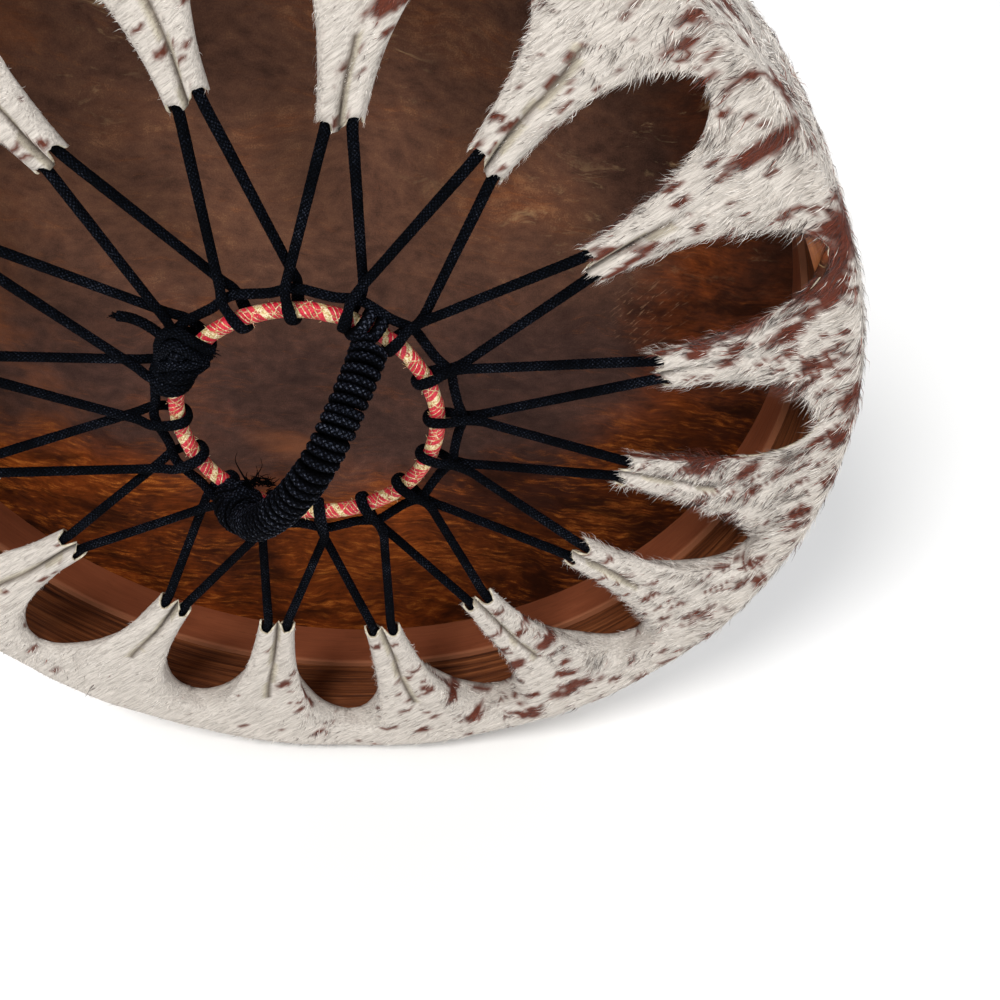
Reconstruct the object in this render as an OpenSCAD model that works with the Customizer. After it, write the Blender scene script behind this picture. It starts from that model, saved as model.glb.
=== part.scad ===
// Laced frame drum: a bent-wood hoop, one hair-on hide laced to a wrapped hub ring
// by a single cord, and a cord-wound arched grip across the ring.
// Frame: the drum stands on its rim. +Y is the outward normal of the playing face,
// the laced back and the grip face -Y, +Z is up. The origin is the centre of the
// playing face.

/* [Hoop] */
// Outside radius of the bent hoop
hoop_r = 242.5; // [225:0.5:250]
// Thickness of the bent hoop
hoop_t = 15; // [10:0.5:18]
// Depth of the hoop along the drum axis
hoop_depth = 69.7; // [60:0.1:85]
// Depth of the smooth lining hoop against the head
band_depth = 26; // [18:0.5:34]
// Thickness of the lining hoop
band_t = 3; // [2:0.5:5]

/* [Hide] */
// Thickness of the hide
hide_t = 2.2; // [1.5:0.1:3]
// How far the hide turns down inside the back edge of the hoop
turn_down = 18; // [10:1:24]
// Number of laced tongues cut in the edge of the hide
tongue_count = 16; // [12:4:16]
// Radius at which the tips of the tongues end
tongue_tip_r = 148; // [140:1:156]
// Length of the rolled, thick tip of a tongue
roll_len = 26; // [20:1:30]
// Thickness of the rolled tip, which is two rolls wide
roll_d = 9.4; // [8.8:0.1:9.4]

/* [Lacing] */
// Diameter of the lacing cord
cord_d = 4.8; // [4.5:0.1:5.6]
// Diameter of the binding cord outside the ring
binding_d = 5; // [4:0.1:5.1]
// Radius of the binding cord's circle
binding_r = 67; // [66.5:0.1:68]

/* [Hub ring] */
// Centre-line radius of the hub ring
ring_r = 58; // [56:0.5:60]
// Diameter of the metal core of the ring
ring_core_d = 5; // [4:0.1:5.5]
// Diameter of the ring over its cloth wrap
ring_wrap_d = 7.2; // [6.5:0.1:7.2]

/* [Grip] */
// Diameter of the cord bundle inside the grip
grip_core_d = 9; // [7:0.5:9]
// Diameter of the grip over its winding
grip_d = 17; // [16:0.5:19]
// Height of the grip's centre-line above the ring at its middle
grip_rise = 54; // [46:1:56]

/* [Hidden] */
$fn = 96;
gap = 0.05;                         // running and seating clearance
tongue_step = 360 / tongue_count;   // angle from one tongue to the next

// Heights along the drum axis, from the playing face towards the back
z_seat = hide_t + gap;              // front edge of both hoops
z_rim = z_seat + hoop_depth;        // back edge of the hoop
z_fold = z_rim + 2 * gap;           // underside of the hide over that edge
z_ring = z_rim + 2;                 // plane of the hub ring
z_roll = z_fold + hide_t / 2 - 1;   // mid-height of the rolled tips

// The drum is modelled with its axis upright, then laid so the back faces -Y
module lay_down() rotate([90, 0, 0]) children();

// A ring about the drum axis, seated against the head
module band(outer_r, wall, depth)
    translate([0, 0, z_seat]) rotate_extrude($fn = 180)
        translate([outer_r - wall, 0]) square([wall, depth]);

// A torus about the drum axis in the plane of the hub ring
module torus(centre_r, dia)
    translate([0, 0, z_ring]) rotate_extrude($fn = 180)
        translate([centre_r, 0]) circle(d = dia, $fn = 48);

// Room for the wrapped hub ring in the pieces whipped on it
module ring_relief() torus(ring_r, ring_wrap_d + 2 * gap);

// A straight length of cord between two points
module rod(start, end, dia) {
    run = end - start;
    length = norm(run);
    translate(start) rotate([0, acos(run.z / length), atan2(run.y, run.x)])
        cylinder(d = dia, h = length, $fn = 8);
}

// ---- Hoops ----
hoop_in = hoop_r - hoop_t;

module hoop() color([0.36, 0.20, 0.11]) lay_down()
    band(hoop_r, hoop_t, hoop_depth);

module lining_hoop() color([0.42, 0.22, 0.14]) lay_down()
    band(hoop_in - gap, band_t, band_depth);

// ---- Cord legs ----
// Each tongue holds two legs, side = +1 and -1, in a frame whose +X is the tongue's
// centre line. The +1 leg passes over the ring, the -1 leg under it.
roll_off = roll_d / 2 + 0.1;        // from the centre line to each leg at the tip
bight_r = ring_wrap_d / 2 + cord_d / 2 + 0.15;
leg_inset = 9;                      // how far a leg reaches into the rolled tip
bore_depth = 10;
bore_lead = 3;                      // how far the bore cutter starts before the tip
bore_d = cord_d + 0.2;

function leg_tip(side) = [tongue_tip_r, side * roll_off, z_roll];
function leg_ring(side) = [
    ring_r * cos(tongue_step / 2),
    side * ring_r * sin(tongue_step / 2),
    z_ring + side * bight_r
];

// Point on the leg's line, a distance outward from the tongue's tip
function on_leg(side, distance) =
    let (tip = leg_tip(side), run = tip - leg_ring(side))
    tip + run / norm(run) * distance;

// ---- Hide ----
hide_r = hoop_r + 2 * gap + hide_t;
turn_r = hoop_in - 2 * gap;         // outside radius of the turned-down edge
fold_in = turn_r - hide_t;
tip_half_w = roll_off + roll_d / 2;
plate_inset = 0.2;                  // plate is thinner than the hide by this on each face
plate_overlap = 1.2;                // how far the plate runs into the folded hide
plate_steps = 8;
plate_trim = 0.6;                   // plate is narrower than the rolled tip, each side
flare = 29;                         // extra half width where the plate meets the hoop
flare_start_r = tongue_tip_r + roll_len - 6;

// Half width of a tongue's plate at a radius
function plate_half_w(radius) = tip_half_w - plate_trim
    + flare * pow(max(0, (radius - flare_start_r) / (hoop_in - flare_start_r)), 3);

// Flat part of a tongue, wide at the hoop and narrow at the tip
module tongue_plate() {
    start_r = tongue_tip_r + roll_len / 2;
    end_r = fold_in + plate_overlap;
    edge = [
        for (i = [0 : plate_steps])
            let (radius = start_r + (end_r - start_r) * i / plate_steps)
            [radius, plate_half_w(radius)]
    ];
    mirrored = [for (i = [plate_steps : -1 : 0]) [edge[i].x, -edge[i].y]];
    translate([0, 0, z_fold + plate_inset])
        linear_extrude(height = hide_t - 2 * plate_inset)
            polygon(concat(edge, mirrored));
}

// The plate and the thick rolled tip, bored for the cord's two legs
module tongue() difference() {
    union() {
        tongue_plate();
        translate([tongue_tip_r, -tip_half_w, z_roll - roll_d / 2])
            cube([roll_len, 2 * tip_half_w, roll_d]);
    }
    for (side = [-1, 1])
        rod(on_leg(side, -bore_lead), on_leg(side, bore_depth), bore_d);
}

// Section of the head, the side and the edge turned down inside the hoop
hide_section = [
    [0, 0],
    [hide_r, 0],
    [hide_r, z_fold + hide_t],
    [fold_in, z_fold + hide_t],
    [fold_in, z_rim - turn_down],
    [turn_r, z_rim - turn_down],
    [turn_r, z_fold],
    [hide_r - hide_t, z_fold],
    [hide_r - hide_t, hide_t],
    [0, hide_t]
];

module hide() color([0.88, 0.85, 0.80]) lay_down() {
    rotate_extrude($fn = 180) polygon(hide_section);
    for (i = [0 : tongue_count - 1]) rotate([0, 0, (i + 0.5) * tongue_step]) tongue();
}

// ---- Lacing ----
// Half turn of cord round the inner side of the ring, on the +X axis
module bight()
    translate([ring_r, 0, z_ring]) rotate([90, 0, 0]) rotate([0, 0, 90])
        rotate_extrude(angle = 180, $fn = 48)
            translate([bight_r, 0]) circle(d = cord_d, $fn = 16);

// Two legs from every tongue and a bight round the ring between tongues
module lacing_cord() color([0.06, 0.07, 0.09]) lay_down()
    for (i = [0 : tongue_count - 1]) {
        rotate([0, 0, (i + 0.5) * tongue_step])
            for (side = [-1, 1]) rod(on_leg(side, leg_inset), leg_ring(side), cord_d);
        rotate([0, 0, i * tongue_step]) bight();
    }

module binding_cord() color([0.05, 0.06, 0.08]) lay_down() torus(binding_r, binding_d);

// ---- Hub ring ----
wrap_clearance = 0.04;              // on the diameter of the ring's core

module hub_ring() color([0.55, 0.56, 0.58]) lay_down() torus(ring_r, ring_core_d);

module ring_wrap() color([0.80, 0.16, 0.22]) lay_down() difference() {
    torus(ring_r, ring_wrap_d);
    torus(ring_r, ring_core_d + wrap_clearance);
}

// ---- Grip ----
grip_angle = 2.5 * tongue_step;     // direction of the grip's chord
arch_r = (ring_r * ring_r + grip_rise * grip_rise) / (2 * grip_rise);
arch_z = grip_rise - arch_r;        // centre of the arch from the ring plane
winding_base = 12.5;                // ends of the winding above the ring plane
winding_bore_base = 10;             // its bore starts lower, to cut right through
tie_r = 8.4;

// An arch along the grip's chord, both ends starting base above the ring plane
module arch(dia, base) {
    start_angle = asin((base - arch_z) / arch_r);
    rotate([0, 0, grip_angle]) translate([0, 0, z_ring + arch_z]) rotate([90, 0, 0])
        rotate([0, 0, start_angle]) rotate_extrude(angle = 180 - 2 * start_angle, $fn = 180)
            translate([arch_r, 0]) circle(d = dia, $fn = 48);
}

// The two ends are cupped to turn on the round ties
module grip_core() color([0.10, 0.10, 0.12]) lay_down() difference() {
    arch(grip_core_d, 0);
    for (side = [-1, 1]) rotate([0, 0, grip_angle])
        translate([side * ring_r, 0, z_ring]) sphere(r = tie_r + gap, $fn = 64);
}

module grip_winding() color([0.05, 0.06, 0.08]) lay_down() difference() {
    arch(grip_d, winding_base);
    arch(grip_core_d + 2 * gap, winding_bore_base);
}

// A round tie whipped on the ring, relieved for the ring and the binding cord.
// Both ties are the same piece, one turned half a turn about the drum axis.
module tie(turn) rotate([0, 0, grip_angle + turn]) difference() {
    translate([-ring_r, 0, z_ring]) sphere(r = tie_r, $fn = 64);
    ring_relief();
    torus(binding_r, binding_d + 2 * gap);
}

module grip_tie_upper() color([0.07, 0.08, 0.10]) lay_down() tie(180);

module grip_tie_lower() color([0.07, 0.08, 0.10]) lay_down() tie(0);

// ---- Finishing knot ----
knot_angle = 6.5 * tongue_step;
knot_d = 12.6;
knot_len = 22;
knot_base = -8;                     // heights from the ring plane
tail_height = 11;
tail_len = 33;

// The knot that ends the lacing, whipped on the ring, with its loose tail
module finishing_knot() color([0.05, 0.05, 0.07]) lay_down()
    rotate([0, 0, knot_angle]) difference() {
        union() {
            translate([ring_r, 0, z_ring + knot_base]) cylinder(d = knot_d, h = knot_len, $fn = 48);
            translate([ring_r, 0, z_ring + tail_height]) rotate([0, 90, 0])
                cylinder(d = cord_d, h = tail_len, $fn = 32);
        }
        ring_relief();
    }

hoop();
lining_hoop();
hide();
lacing_cord();
binding_cord();
hub_ring();
ring_wrap();
grip_core();
grip_winding();
grip_tie_upper();
grip_tie_lower();
finishing_knot();
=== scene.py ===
# Laced frame drum with a hair-on hide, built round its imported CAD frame. The hide wraps the hoop
# and runs inwards at the back as 16 rolled tongues, laced with black cord to a cloth-wound ring.
# A cord-wound grip arches over the ring.
# Local frame, mm: x right and y up as seen from the back, z from the playing face to the back.
# World frame, m: x right, z up, and -y towards the back.
import math
from itertools import product

import bpy
import numpy as np
from mathutils import Matrix, Vector


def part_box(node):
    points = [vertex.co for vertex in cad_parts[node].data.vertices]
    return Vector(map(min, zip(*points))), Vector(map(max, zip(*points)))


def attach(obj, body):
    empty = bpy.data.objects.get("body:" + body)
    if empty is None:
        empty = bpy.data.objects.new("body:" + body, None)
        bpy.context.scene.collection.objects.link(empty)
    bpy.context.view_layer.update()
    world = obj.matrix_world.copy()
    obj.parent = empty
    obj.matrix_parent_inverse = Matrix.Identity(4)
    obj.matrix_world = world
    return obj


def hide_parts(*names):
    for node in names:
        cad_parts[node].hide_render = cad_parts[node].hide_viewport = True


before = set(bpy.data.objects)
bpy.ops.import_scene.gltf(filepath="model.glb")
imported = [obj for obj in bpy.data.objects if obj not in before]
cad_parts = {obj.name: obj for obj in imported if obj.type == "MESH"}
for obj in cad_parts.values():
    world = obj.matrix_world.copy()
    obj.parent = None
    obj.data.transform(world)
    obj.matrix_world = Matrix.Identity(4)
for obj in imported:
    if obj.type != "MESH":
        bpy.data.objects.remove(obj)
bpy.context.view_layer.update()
RNG = np.random.default_rng(20261)
SURFACE_RNG = np.random.default_rng(4242)        # roughness of the swept cords

# ---------------------------------------------------------------- sizes, mm
low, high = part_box("hide")
HIDE_R = (high.x - low.x) / 2 * 1000 - 0.2
low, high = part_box("hoop")
HOOP_R = (high.x - low.x) / 2 * 1000
RIM_Z = -low.y * 1000                            # back edge of the hoop
low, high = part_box("hub_ring")
RING_R = (high.x - low.x) / 2 * 1000 - 2.5       # centre line of the ring
RING_Z = -(low.y + high.y) / 2 * 1000
HOOP_INNER_R = HOOP_R - 15.0
TONGUES = 16
STEP = 2 * math.pi / TONGUES                     # angle between tongues
CORD_R = 2.32
HIDE_THICK = 2.0
BACK = np.array([0, 0, 1.0])


# ---------------------------------------------------------------- vectors, colour and noise
def unit(v):
    v = np.asarray(v, float)
    return v / np.maximum(np.linalg.norm(v, axis=-1, keepdims=True), 1e-9)


def polar(r, angle, z):
    return np.stack(np.broadcast_arrays(r * np.cos(angle), r * np.sin(angle), z), -1)


def outward(angle):
    return polar(1.0, angle, 0.0)


def tangent(angle):
    return np.cross(BACK, outward(angle))


def smoothstep(start, end, x):
    t = np.clip((x - start) / (end - start), 0, 1)
    return t * t * (3 - 2 * t)


def bell(angle, centre, width):
    """Peak of 1 round a direction, all in degrees."""
    return np.exp(-(((angle - centre + 180) % 360 - 180) / width) ** 2)


def linear(color):
    """sRGB 0..255 to linear."""
    c = np.asarray(color, float) / 255.0
    return np.where(c <= 0.04045, c / 12.92, ((c + 0.055) / 1.055) ** 2.4)


def mix_bits(cell, salt):
    i, j, k = cell.T
    h = (i * 73856093) ^ (j * 19349663) ^ (k * 83492791) ^ salt
    return (h ^ (h >> 13)) * 1274126177 & 0xFFFFFFFF


def value_noise(points, seed=0):
    """Smooth noise in 0..1 at points (N,3)."""
    cell = np.floor(points).astype(np.int64)
    part = points - cell
    part = part * part * (3 - 2 * part)
    out = np.zeros(len(points))
    for corner in product((0, 1), repeat=3):
        h = mix_bits(cell + corner, seed * 40503 + 977)
        h = (h ^ (h >> 16)) & 0xFFFF
        weight = np.where(corner, part, 1 - part).prod(1)
        out += weight * h / 65535.0
    return out


def layered_noise(points, seed, layers):
    total, amount, weight = 0.0, 1.0, 0.0
    for n in range(layers):
        total = total + amount * value_noise(points * 2.0**n + 17.3 * n, seed + n)
        weight += amount
        amount *= 0.5
    return total / weight


def cell_random(cell, seed):
    h = mix_bits(cell, seed * 40503 + 1337)
    h = (h ^ (h >> 15)) * 2246822519 & 0xFFFFFFFF
    return ((h ^ (h >> 16)) & 0xFFFFF) / 1048575.0


def speck_distance(points, cell, chance, size, seed):
    """Distance to the nearest long speck, in speck radii; each grid cell holds at most one."""
    cell, size = np.array(cell), np.array(size)
    q = points / cell
    base = np.floor(q).astype(np.int64)
    best = np.full(len(points), 9.0)
    for shift in product((-1, 0, 1), repeat=3):
        at = base + shift
        on = cell_random(at, seed) < chance
        centre = at + np.stack([cell_random(at, seed + n) for n in (1, 2, 3)], 1)
        radius = size * (0.45 + 0.9 * cell_random(at, seed + 4))[:, None]
        distance = np.linalg.norm((q - centre) * cell / radius, axis=1)
        best = np.where(on, np.minimum(best, distance), best)
    return best


# ---------------------------------------------------------------- shader node helpers
def feed(tree, socket, value):
    """Link a Value to a socket, or set it to a number or an sRGB colour."""
    if isinstance(value, Value):
        tree.links.new(value.socket, socket)
    elif isinstance(value, tuple):
        socket.default_value = (*linear(value), 1.0)
    else:
        socket.default_value = value


def add_node(tree, kind, output, inputs, **settings):
    node = tree.nodes.new("ShaderNode" + kind)
    for name, setting in settings.items():
        setattr(node, name, setting)
    for key, value in inputs.items():
        feed(tree, node.inputs[key], value)
    return Value(tree, node.outputs[output])


class Value:
    """A shader output that adds a Math node for each operation on it."""

    def __init__(self, tree, socket):
        self.tree, self.socket = tree, socket

    def math(self, operation, *others, clamp=False):
        inputs = dict(enumerate((self,) + others))
        return add_node(self.tree, "Math", 0, inputs, operation=operation, use_clamp=clamp)

    def __add__(self, other): return self.math("ADD", other)
    def __sub__(self, other): return self.math("SUBTRACT", other)
    def __rsub__(self, other): return (self * -1.0) + other
    def __mul__(self, other): return self.math("MULTIPLY", other)
    def sin(self): return self.math("SINE")
    def frac(self): return self.math("FRACT")
    def floor(self): return self.math("FLOOR")
    def abs(self): return self.math("ABSOLUTE")
    def sqrt(self): return self.math("SQRT")
    def mod(self, other): return self.math("FLOORED_MODULO", other)
    def atan2(self, other): return self.math("ARCTAN2", other)
    def clamp(self): return self.math("ADD", 0.0, clamp=True)

    def step(self, start, end):
        """Smooth rise from 0 at start to 1 at end."""
        inputs = {"Value": self, "From Min": start, "From Max": end}
        return add_node(self.tree, "MapRange", "Result", inputs, interpolation_type="SMOOTHSTEP")


class Material:
    """A Principled material with short ways to wire it."""

    def __init__(self, name, rough, spec, **inputs):
        self.data = bpy.data.materials.new(name)
        self.data.use_nodes = True
        self.tree = self.data.node_tree
        self.shader = next(n for n in self.tree.nodes if n.type == "BSDF_PRINCIPLED")
        self.set(Roughness=rough, Specular_IOR_Level=spec, **inputs)

    def set(self, **inputs):
        for name, value in inputs.items():
            feed(self.tree, self.shader.inputs[name.replace("_", " ")], value)

    def split(self, vector):
        first = add_node(self.tree, "SeparateXYZ", 0, {0: vector})
        return [Value(self.tree, socket) for socket in first.socket.node.outputs]

    def xyz(self):
        return self.split(add_node(self.tree, "TexCoord", "Object", {}))

    def uv(self):
        return self.split(add_node(self.tree, "UVMap", 0, {}, uv_map="cord"))[:2]

    def attribute(self, name, output):
        return add_node(self.tree, "Attribute", output, {}, attribute_name=name)

    def noise(self, at, scale=1.0, detail=3.0, rough=0.55, distort=0.0):
        vector = add_node(self.tree, "CombineXYZ", 0, dict(enumerate(at)))
        return add_node(self.tree, "TexNoise", "Fac", {
            "Vector": vector, "Scale": scale, "Detail": detail,
            "Roughness": rough, "Distortion": distort})

    def ramp(self, fac, stops):
        """Colour ramp; stops maps positions to sRGB colours."""
        ramp = add_node(self.tree, "ValToRGB", 0, {0: fac})
        elements = ramp.socket.node.color_ramp.elements
        while len(elements) < len(stops):
            elements.new(0.5)
        for element, (position, color) in zip(elements, stops.items()):
            element.position = position
            element.color = (*linear(color), 1.0)
        return ramp

    def mix(self, fac, a, b, mode="MIX"):
        inputs = {0: fac, 6: a, 7: b}
        return add_node(self.tree, "Mix", 2, inputs, data_type="RGBA", blend_type=mode)

    def bump(self, height, distance, strength=1.0):
        inputs = {"Height": height, "Distance": distance, "Strength": strength}
        self.set(Normal=add_node(self.tree, "Bump", 0, inputs))


def around_axis(x, z):
    """Angle and radius round the drum's axis."""
    return z.atan2(x), (x * x + z * z).sqrt()


# ---------------------------------------------------------------- materials
def cord_material(name, period, strands, dark, light, wound=False):
    """Black plait with painted highlights on its raised strands; a wound cord also has painted shade
    between its turns and a painted highlight on their tops.
    """
    m = Material(name, rough=0.8, spec=0.05)
    u, v = m.uv()
    u = u * (1.0 / period)
    p, q = v * strands + u, v * strands - u
    a, b = (p.frac() * math.pi).sin(), (q.frac() * math.pi).sin()
    parity = (p.floor() + q.floor()).mod(2.0)
    over_a = a * (b * 0.45 + 0.55)
    over_b = b * (a * 0.45 + 0.55)
    plait = over_a * parity + over_b * (1.0 - parity)
    at = m.xyz()
    fuzz = m.noise(at, scale=1500.0, rough=0.7)
    wear = m.noise(at, scale=60.0)
    tone = (plait * 0.40 + (fuzz - 0.5) * 1.7 + 0.13) * (wear * 1.1 + 0.35)
    if wound:        # "outer" is 1 on the crown of a turn, 0 between two turns
        crown = m.attribute("outer", "Fac").step(0.35, 0.97)
        # painted shade between the turns and a painted highlight on their tops: the tone is scaled
        # from 0.10 between turns up to 1.35 on top
        tone = tone * (crown * 1.25 + 0.10)
    # painted highlight: the pale blue-grey top of the ramp, on the raised strands and fibres
    m.set(
        Base_Color=m.ramp(tone, {0.0: (1, 1, 2), 0.40: dark, 0.62: (24, 28, 39), 1.0: light}),
        Specular_IOR_Level=tone.step(0.50, 0.95) * 0.45 + 0.02,
        Roughness=0.78 - tone.step(0.45, 0.9) * 0.30)
    m.bump(plait + fuzz * 0.4, distance=0.0006)
    return m.data


def hoop_wood():
    """Dark bent wood, its grain running round the hoop."""
    m = Material("bent_wood", rough=0.5, spec=0.22)
    x, y, z = m.xyz()
    angle, r = around_axis(x, z)
    warp = m.noise((x * 6.0, y * 10.0, z * 6.0), detail=2.0)
    depth = y * 1000.0 + warp * 9.0
    grain = m.noise((angle * 2.2, depth * 0.42, r * 120.0), detail=5.0, rough=0.65, distort=0.4)
    fine = m.noise((angle * 9.0, depth * 2.6, r * 300.0), rough=0.7)
    pore = m.noise((angle * 40.0, y * 5200.0, r * 900.0), detail=2.0)
    color = m.ramp(grain * 0.7 + fine * 0.42 - 0.06, {
        0.32: (30, 13, 6), 0.43: (74, 37, 18), 0.54: (112, 62, 33), 0.68: (152, 94, 56)})
    m.set(Base_Color=m.mix(pore.step(0.62, 0.75) * 0.45, color, (30, 14, 8)),
          Roughness=fine * 0.3 + 0.36)
    m.bump(grain * 0.7 + fine * 0.5 + pore * 0.2, distance=0.0006, strength=0.8)
    return m.data


def lining_wood():
    """Redder wood of the inner band, paler at its rounded free edge as a painted highlight."""
    m = Material("lining_wood", rough=0.45, spec=0.26)
    x, y, z = m.xyz()
    angle, r = around_axis(x, z)
    slow = m.noise((angle * 3.0, y * 60.0, r * 40.0))
    grain = m.noise((angle * 12.0, y * 900.0, r * 400.0), detail=4.0, rough=0.6)
    color = m.ramp(slow * 0.6 + grain * 0.4, {
        0.25: (108, 56, 34), 0.5: (132, 72, 46), 0.75: (150, 86, 56)})
    # painted highlight along the rounded free edge of the band
    edge_highlight = (y * -1000.0).step(25.4, 27.4)
    color = m.mix(edge_highlight * 0.7, color, (172, 112, 80))
    scuff = m.noise((x * 90.0, y * 400.0, z * 90.0))
    m.set(Base_Color=m.mix(scuff.step(0.60, 0.72) * 0.25, color, (70, 34, 22)),
          Roughness=grain * 0.2 + 0.34)
    m.bump(grain + scuff * 0.4, distance=0.00025, strength=0.7)
    return m.data


def hair_material():
    """Hair: every strand brings its colour, varied a little by noise."""
    m = Material("hide_hair", rough=0.5, spec=0.35, Sheen_Weight=0.15)
    tint = m.attribute("tint", "Color")
    at = m.xyz()
    fine = m.noise(at, scale=1400.0, detail=2.0)
    broad = m.noise(at, scale=55.0, detail=2.0)
    shaded = m.mix((fine * 0.35 + broad * 0.25).clamp(), tint, (150, 147, 145), "MULTIPLY")
    m.set(Base_Color=m.mix(0.6, tint, shaded), Roughness=fine * 0.3 + 0.38)
    return m.data


def hide_skin():
    """Hair side of the skin, between the strands."""
    m = Material("hair_side_skin", rough=0.6, spec=0.3)
    tint = m.attribute("tint", "Color")
    x, y, z = m.xyz()
    along = (x * 0.8 + z * 0.6)
    across = (x * -0.6 + z * 0.8)
    streak = m.noise((along * 90.0, y * 900.0, across * 1000.0),
                     detail=4.0, rough=0.65, distort=0.6)
    m.set(Base_Color=m.mix(streak.step(0.35, 0.75) * 0.55, tint, (120, 112, 106), "MULTIPLY"),
          Roughness=streak * 0.3 + 0.45)
    m.bump(streak, distance=0.0008)
    return m.data


def flesh_side():
    """Dark smoked flesh side with flecks, and orange streaks and glows painted as light shining
    through the hide. x is right and z up, in metres.
    """
    m = Material("flesh_side", rough=0.6, spec=0.08)
    x, y, z = m.xyz()
    along = x * 0.985 - z * 0.17
    across = x * 0.17 + z * 0.985
    drift = m.noise((x, z, 0.3), scale=6.0, detail=2.0)
    ripple = m.noise((x, z, 4.1), scale=22.0)
    along = along + (drift - 0.5) * 0.06
    across = across + (drift - 0.5) * 0.06 + (ripple - 0.5) * 0.020

    def streaks(scale_along, scale_across, depth, detail, rough, distort=0.0):
        return m.noise((along * scale_along, across * scale_across, depth),
                       detail=detail, rough=rough, distort=distort)

    cloud = streaks(11.0, 15.0, depth=1.7, detail=4.0, rough=0.6)
    mottle = streaks(120.0, 160.0, depth=2.2, detail=4.0, rough=0.65)
    brush = streaks(26.0, 95.0, depth=3.3, detail=5.0, rough=0.62, distort=0.15)
    fibre = streaks(95.0, 460.0, depth=9.0, detail=4.0, rough=0.7)
    grit = m.noise((x, y, z), scale=1500.0, detail=2.0)

    # cool browns, ochre towards the top, warm at the bottom and the right
    low = (z - (x + 0.01).abs() * 0.34 + (ripple - 0.5) * 0.06).step(-0.098, -0.146)
    right = (x + (ripple - 0.5) * 0.06).step(0.130, 0.180) * (1.0 - low)

    def patchy(colors):
        fac = cloud * 0.42 + mottle * 0.36 + grit * 0.22
        return m.ramp(fac, dict(zip((0.30, 0.45, 0.56, 0.70), colors)))

    cool = patchy(((38, 25, 23), (64, 44, 38), (84, 57, 48), (122, 86, 68)))
    ochre = patchy(((44, 27, 21), (86, 57, 44), (108, 73, 54), (158, 118, 84)))
    cool = m.mix(z.step(-0.03, 0.06) * 0.9, cool, ochre)
    warm = m.ramp(cloud * 0.42 + fibre * 0.32 + mottle * 0.26, {
        0.32: (26, 9, 3), 0.45: (74, 32, 10), 0.55: (116, 53, 17), 0.70: (172, 91, 36)})
    warm = m.mix(x.step(0.02, 0.12) * low * 0.66, warm, (40, 15, 5))
    color = m.mix((low * 1.0 + right * 0.85 + (cloud - 0.52) * 1.3).clamp(), cool, warm)

    # painted light: brushed orange streaks of light shining through the hide, strong at the bottom
    # and broken elsewhere
    flame = brush * 0.50 + fibre * 0.50 + (cloud - 0.5) * 0.35
    amber = m.ramp(fibre * 0.6 + grit * 0.4, {
        0.30: (106, 48, 14), 0.50: (146, 72, 24), 0.72: (214, 132, 56)})
    lit = (flame - 0.50 + low * 0.03).step(0.02, 0.17)
    lit_where = low * (x.step(0.04, -0.07) * 0.34 + 0.44) + right * 0.16 + 0.14
    color = m.mix((lit * lit_where).clamp(), color, amber)

    # painted light: a ruddy glow towards the left edge, and one soft pool of light below the middle
    left = (x + (ripple - 0.5) * 0.05).step(-0.090, -0.150)
    ruddy = left * (1.0 - low) * cloud.step(0.46, 0.60)
    color = m.mix((ruddy * (fibre + 0.25)).clamp() * 0.55, color, (128, 72, 38))
    dx, dz = x + 0.022, z + 0.086 + x * 0.25
    glow = (1.0 - (dx * dx * 900.0 + dz * dz * 6500.0)).step(0.0, 1.0) * (brush * 1.4 - 0.15)
    color = m.mix((glow * 0.62).clamp(), color, (150, 92, 60))

    # deep brown shadows in the grain
    deep = streaks(24.0, 60.0, depth=7.7, detail=5.0, rough=0.6).step(0.50, 0.66)
    color = m.mix((deep * (low * 0.55 + right * 0.60 + 0.10)).clamp(), color, (26, 10, 4))

    # pale flecks in the upper half, and a patch of small slanting dashes at the right
    fleck = streaks(42.0, 105.0, depth=12.0, detail=5.0, rough=0.72, distort=0.5)
    field = m.noise((x, z, 21.0), scale=8.5, detail=2.0)
    pale = z.step(0.0, 0.13) * field.step(0.47, 0.60)
    color = m.mix((fleck.step(0.55, 0.68) * pale).clamp() * 0.75, color, (196, 162, 118))
    dx, dz = x - 0.155, z - 0.006
    dash = m.noise(((x + z) * 90.0, (x - z) * 430.0, 2.0), rough=0.6)
    spot = (1.0 - (dx * dx + dz * dz) * 1500.0).step(0.1, 0.9)
    color = m.mix((dash.step(0.57, 0.66) * spot).clamp() * 0.6, color, (150, 112, 84))
    m.set(Base_Color=color, Roughness=fibre * 0.3 + 0.5)
    m.bump(fibre * 0.6 + grit * 0.5 + mottle * 0.4, distance=0.0004, strength=0.8)
    return m.data


def cut_edge():
    """Raw, cream edge of the hide."""
    m = Material("raw_edge", rough=0.65, spec=0.25)
    grain = m.noise(m.xyz(), scale=420.0, detail=4.0, rough=0.6)
    m.set(Base_Color=m.ramp(grain, {
        0.3: (148, 132, 108), 0.55: (204, 194, 172), 0.75: (230, 224, 210)}),
        Roughness=grain * 0.3 + 0.5)
    m.bump(grain, distance=0.0005, strength=0.8)
    return m.data


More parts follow.
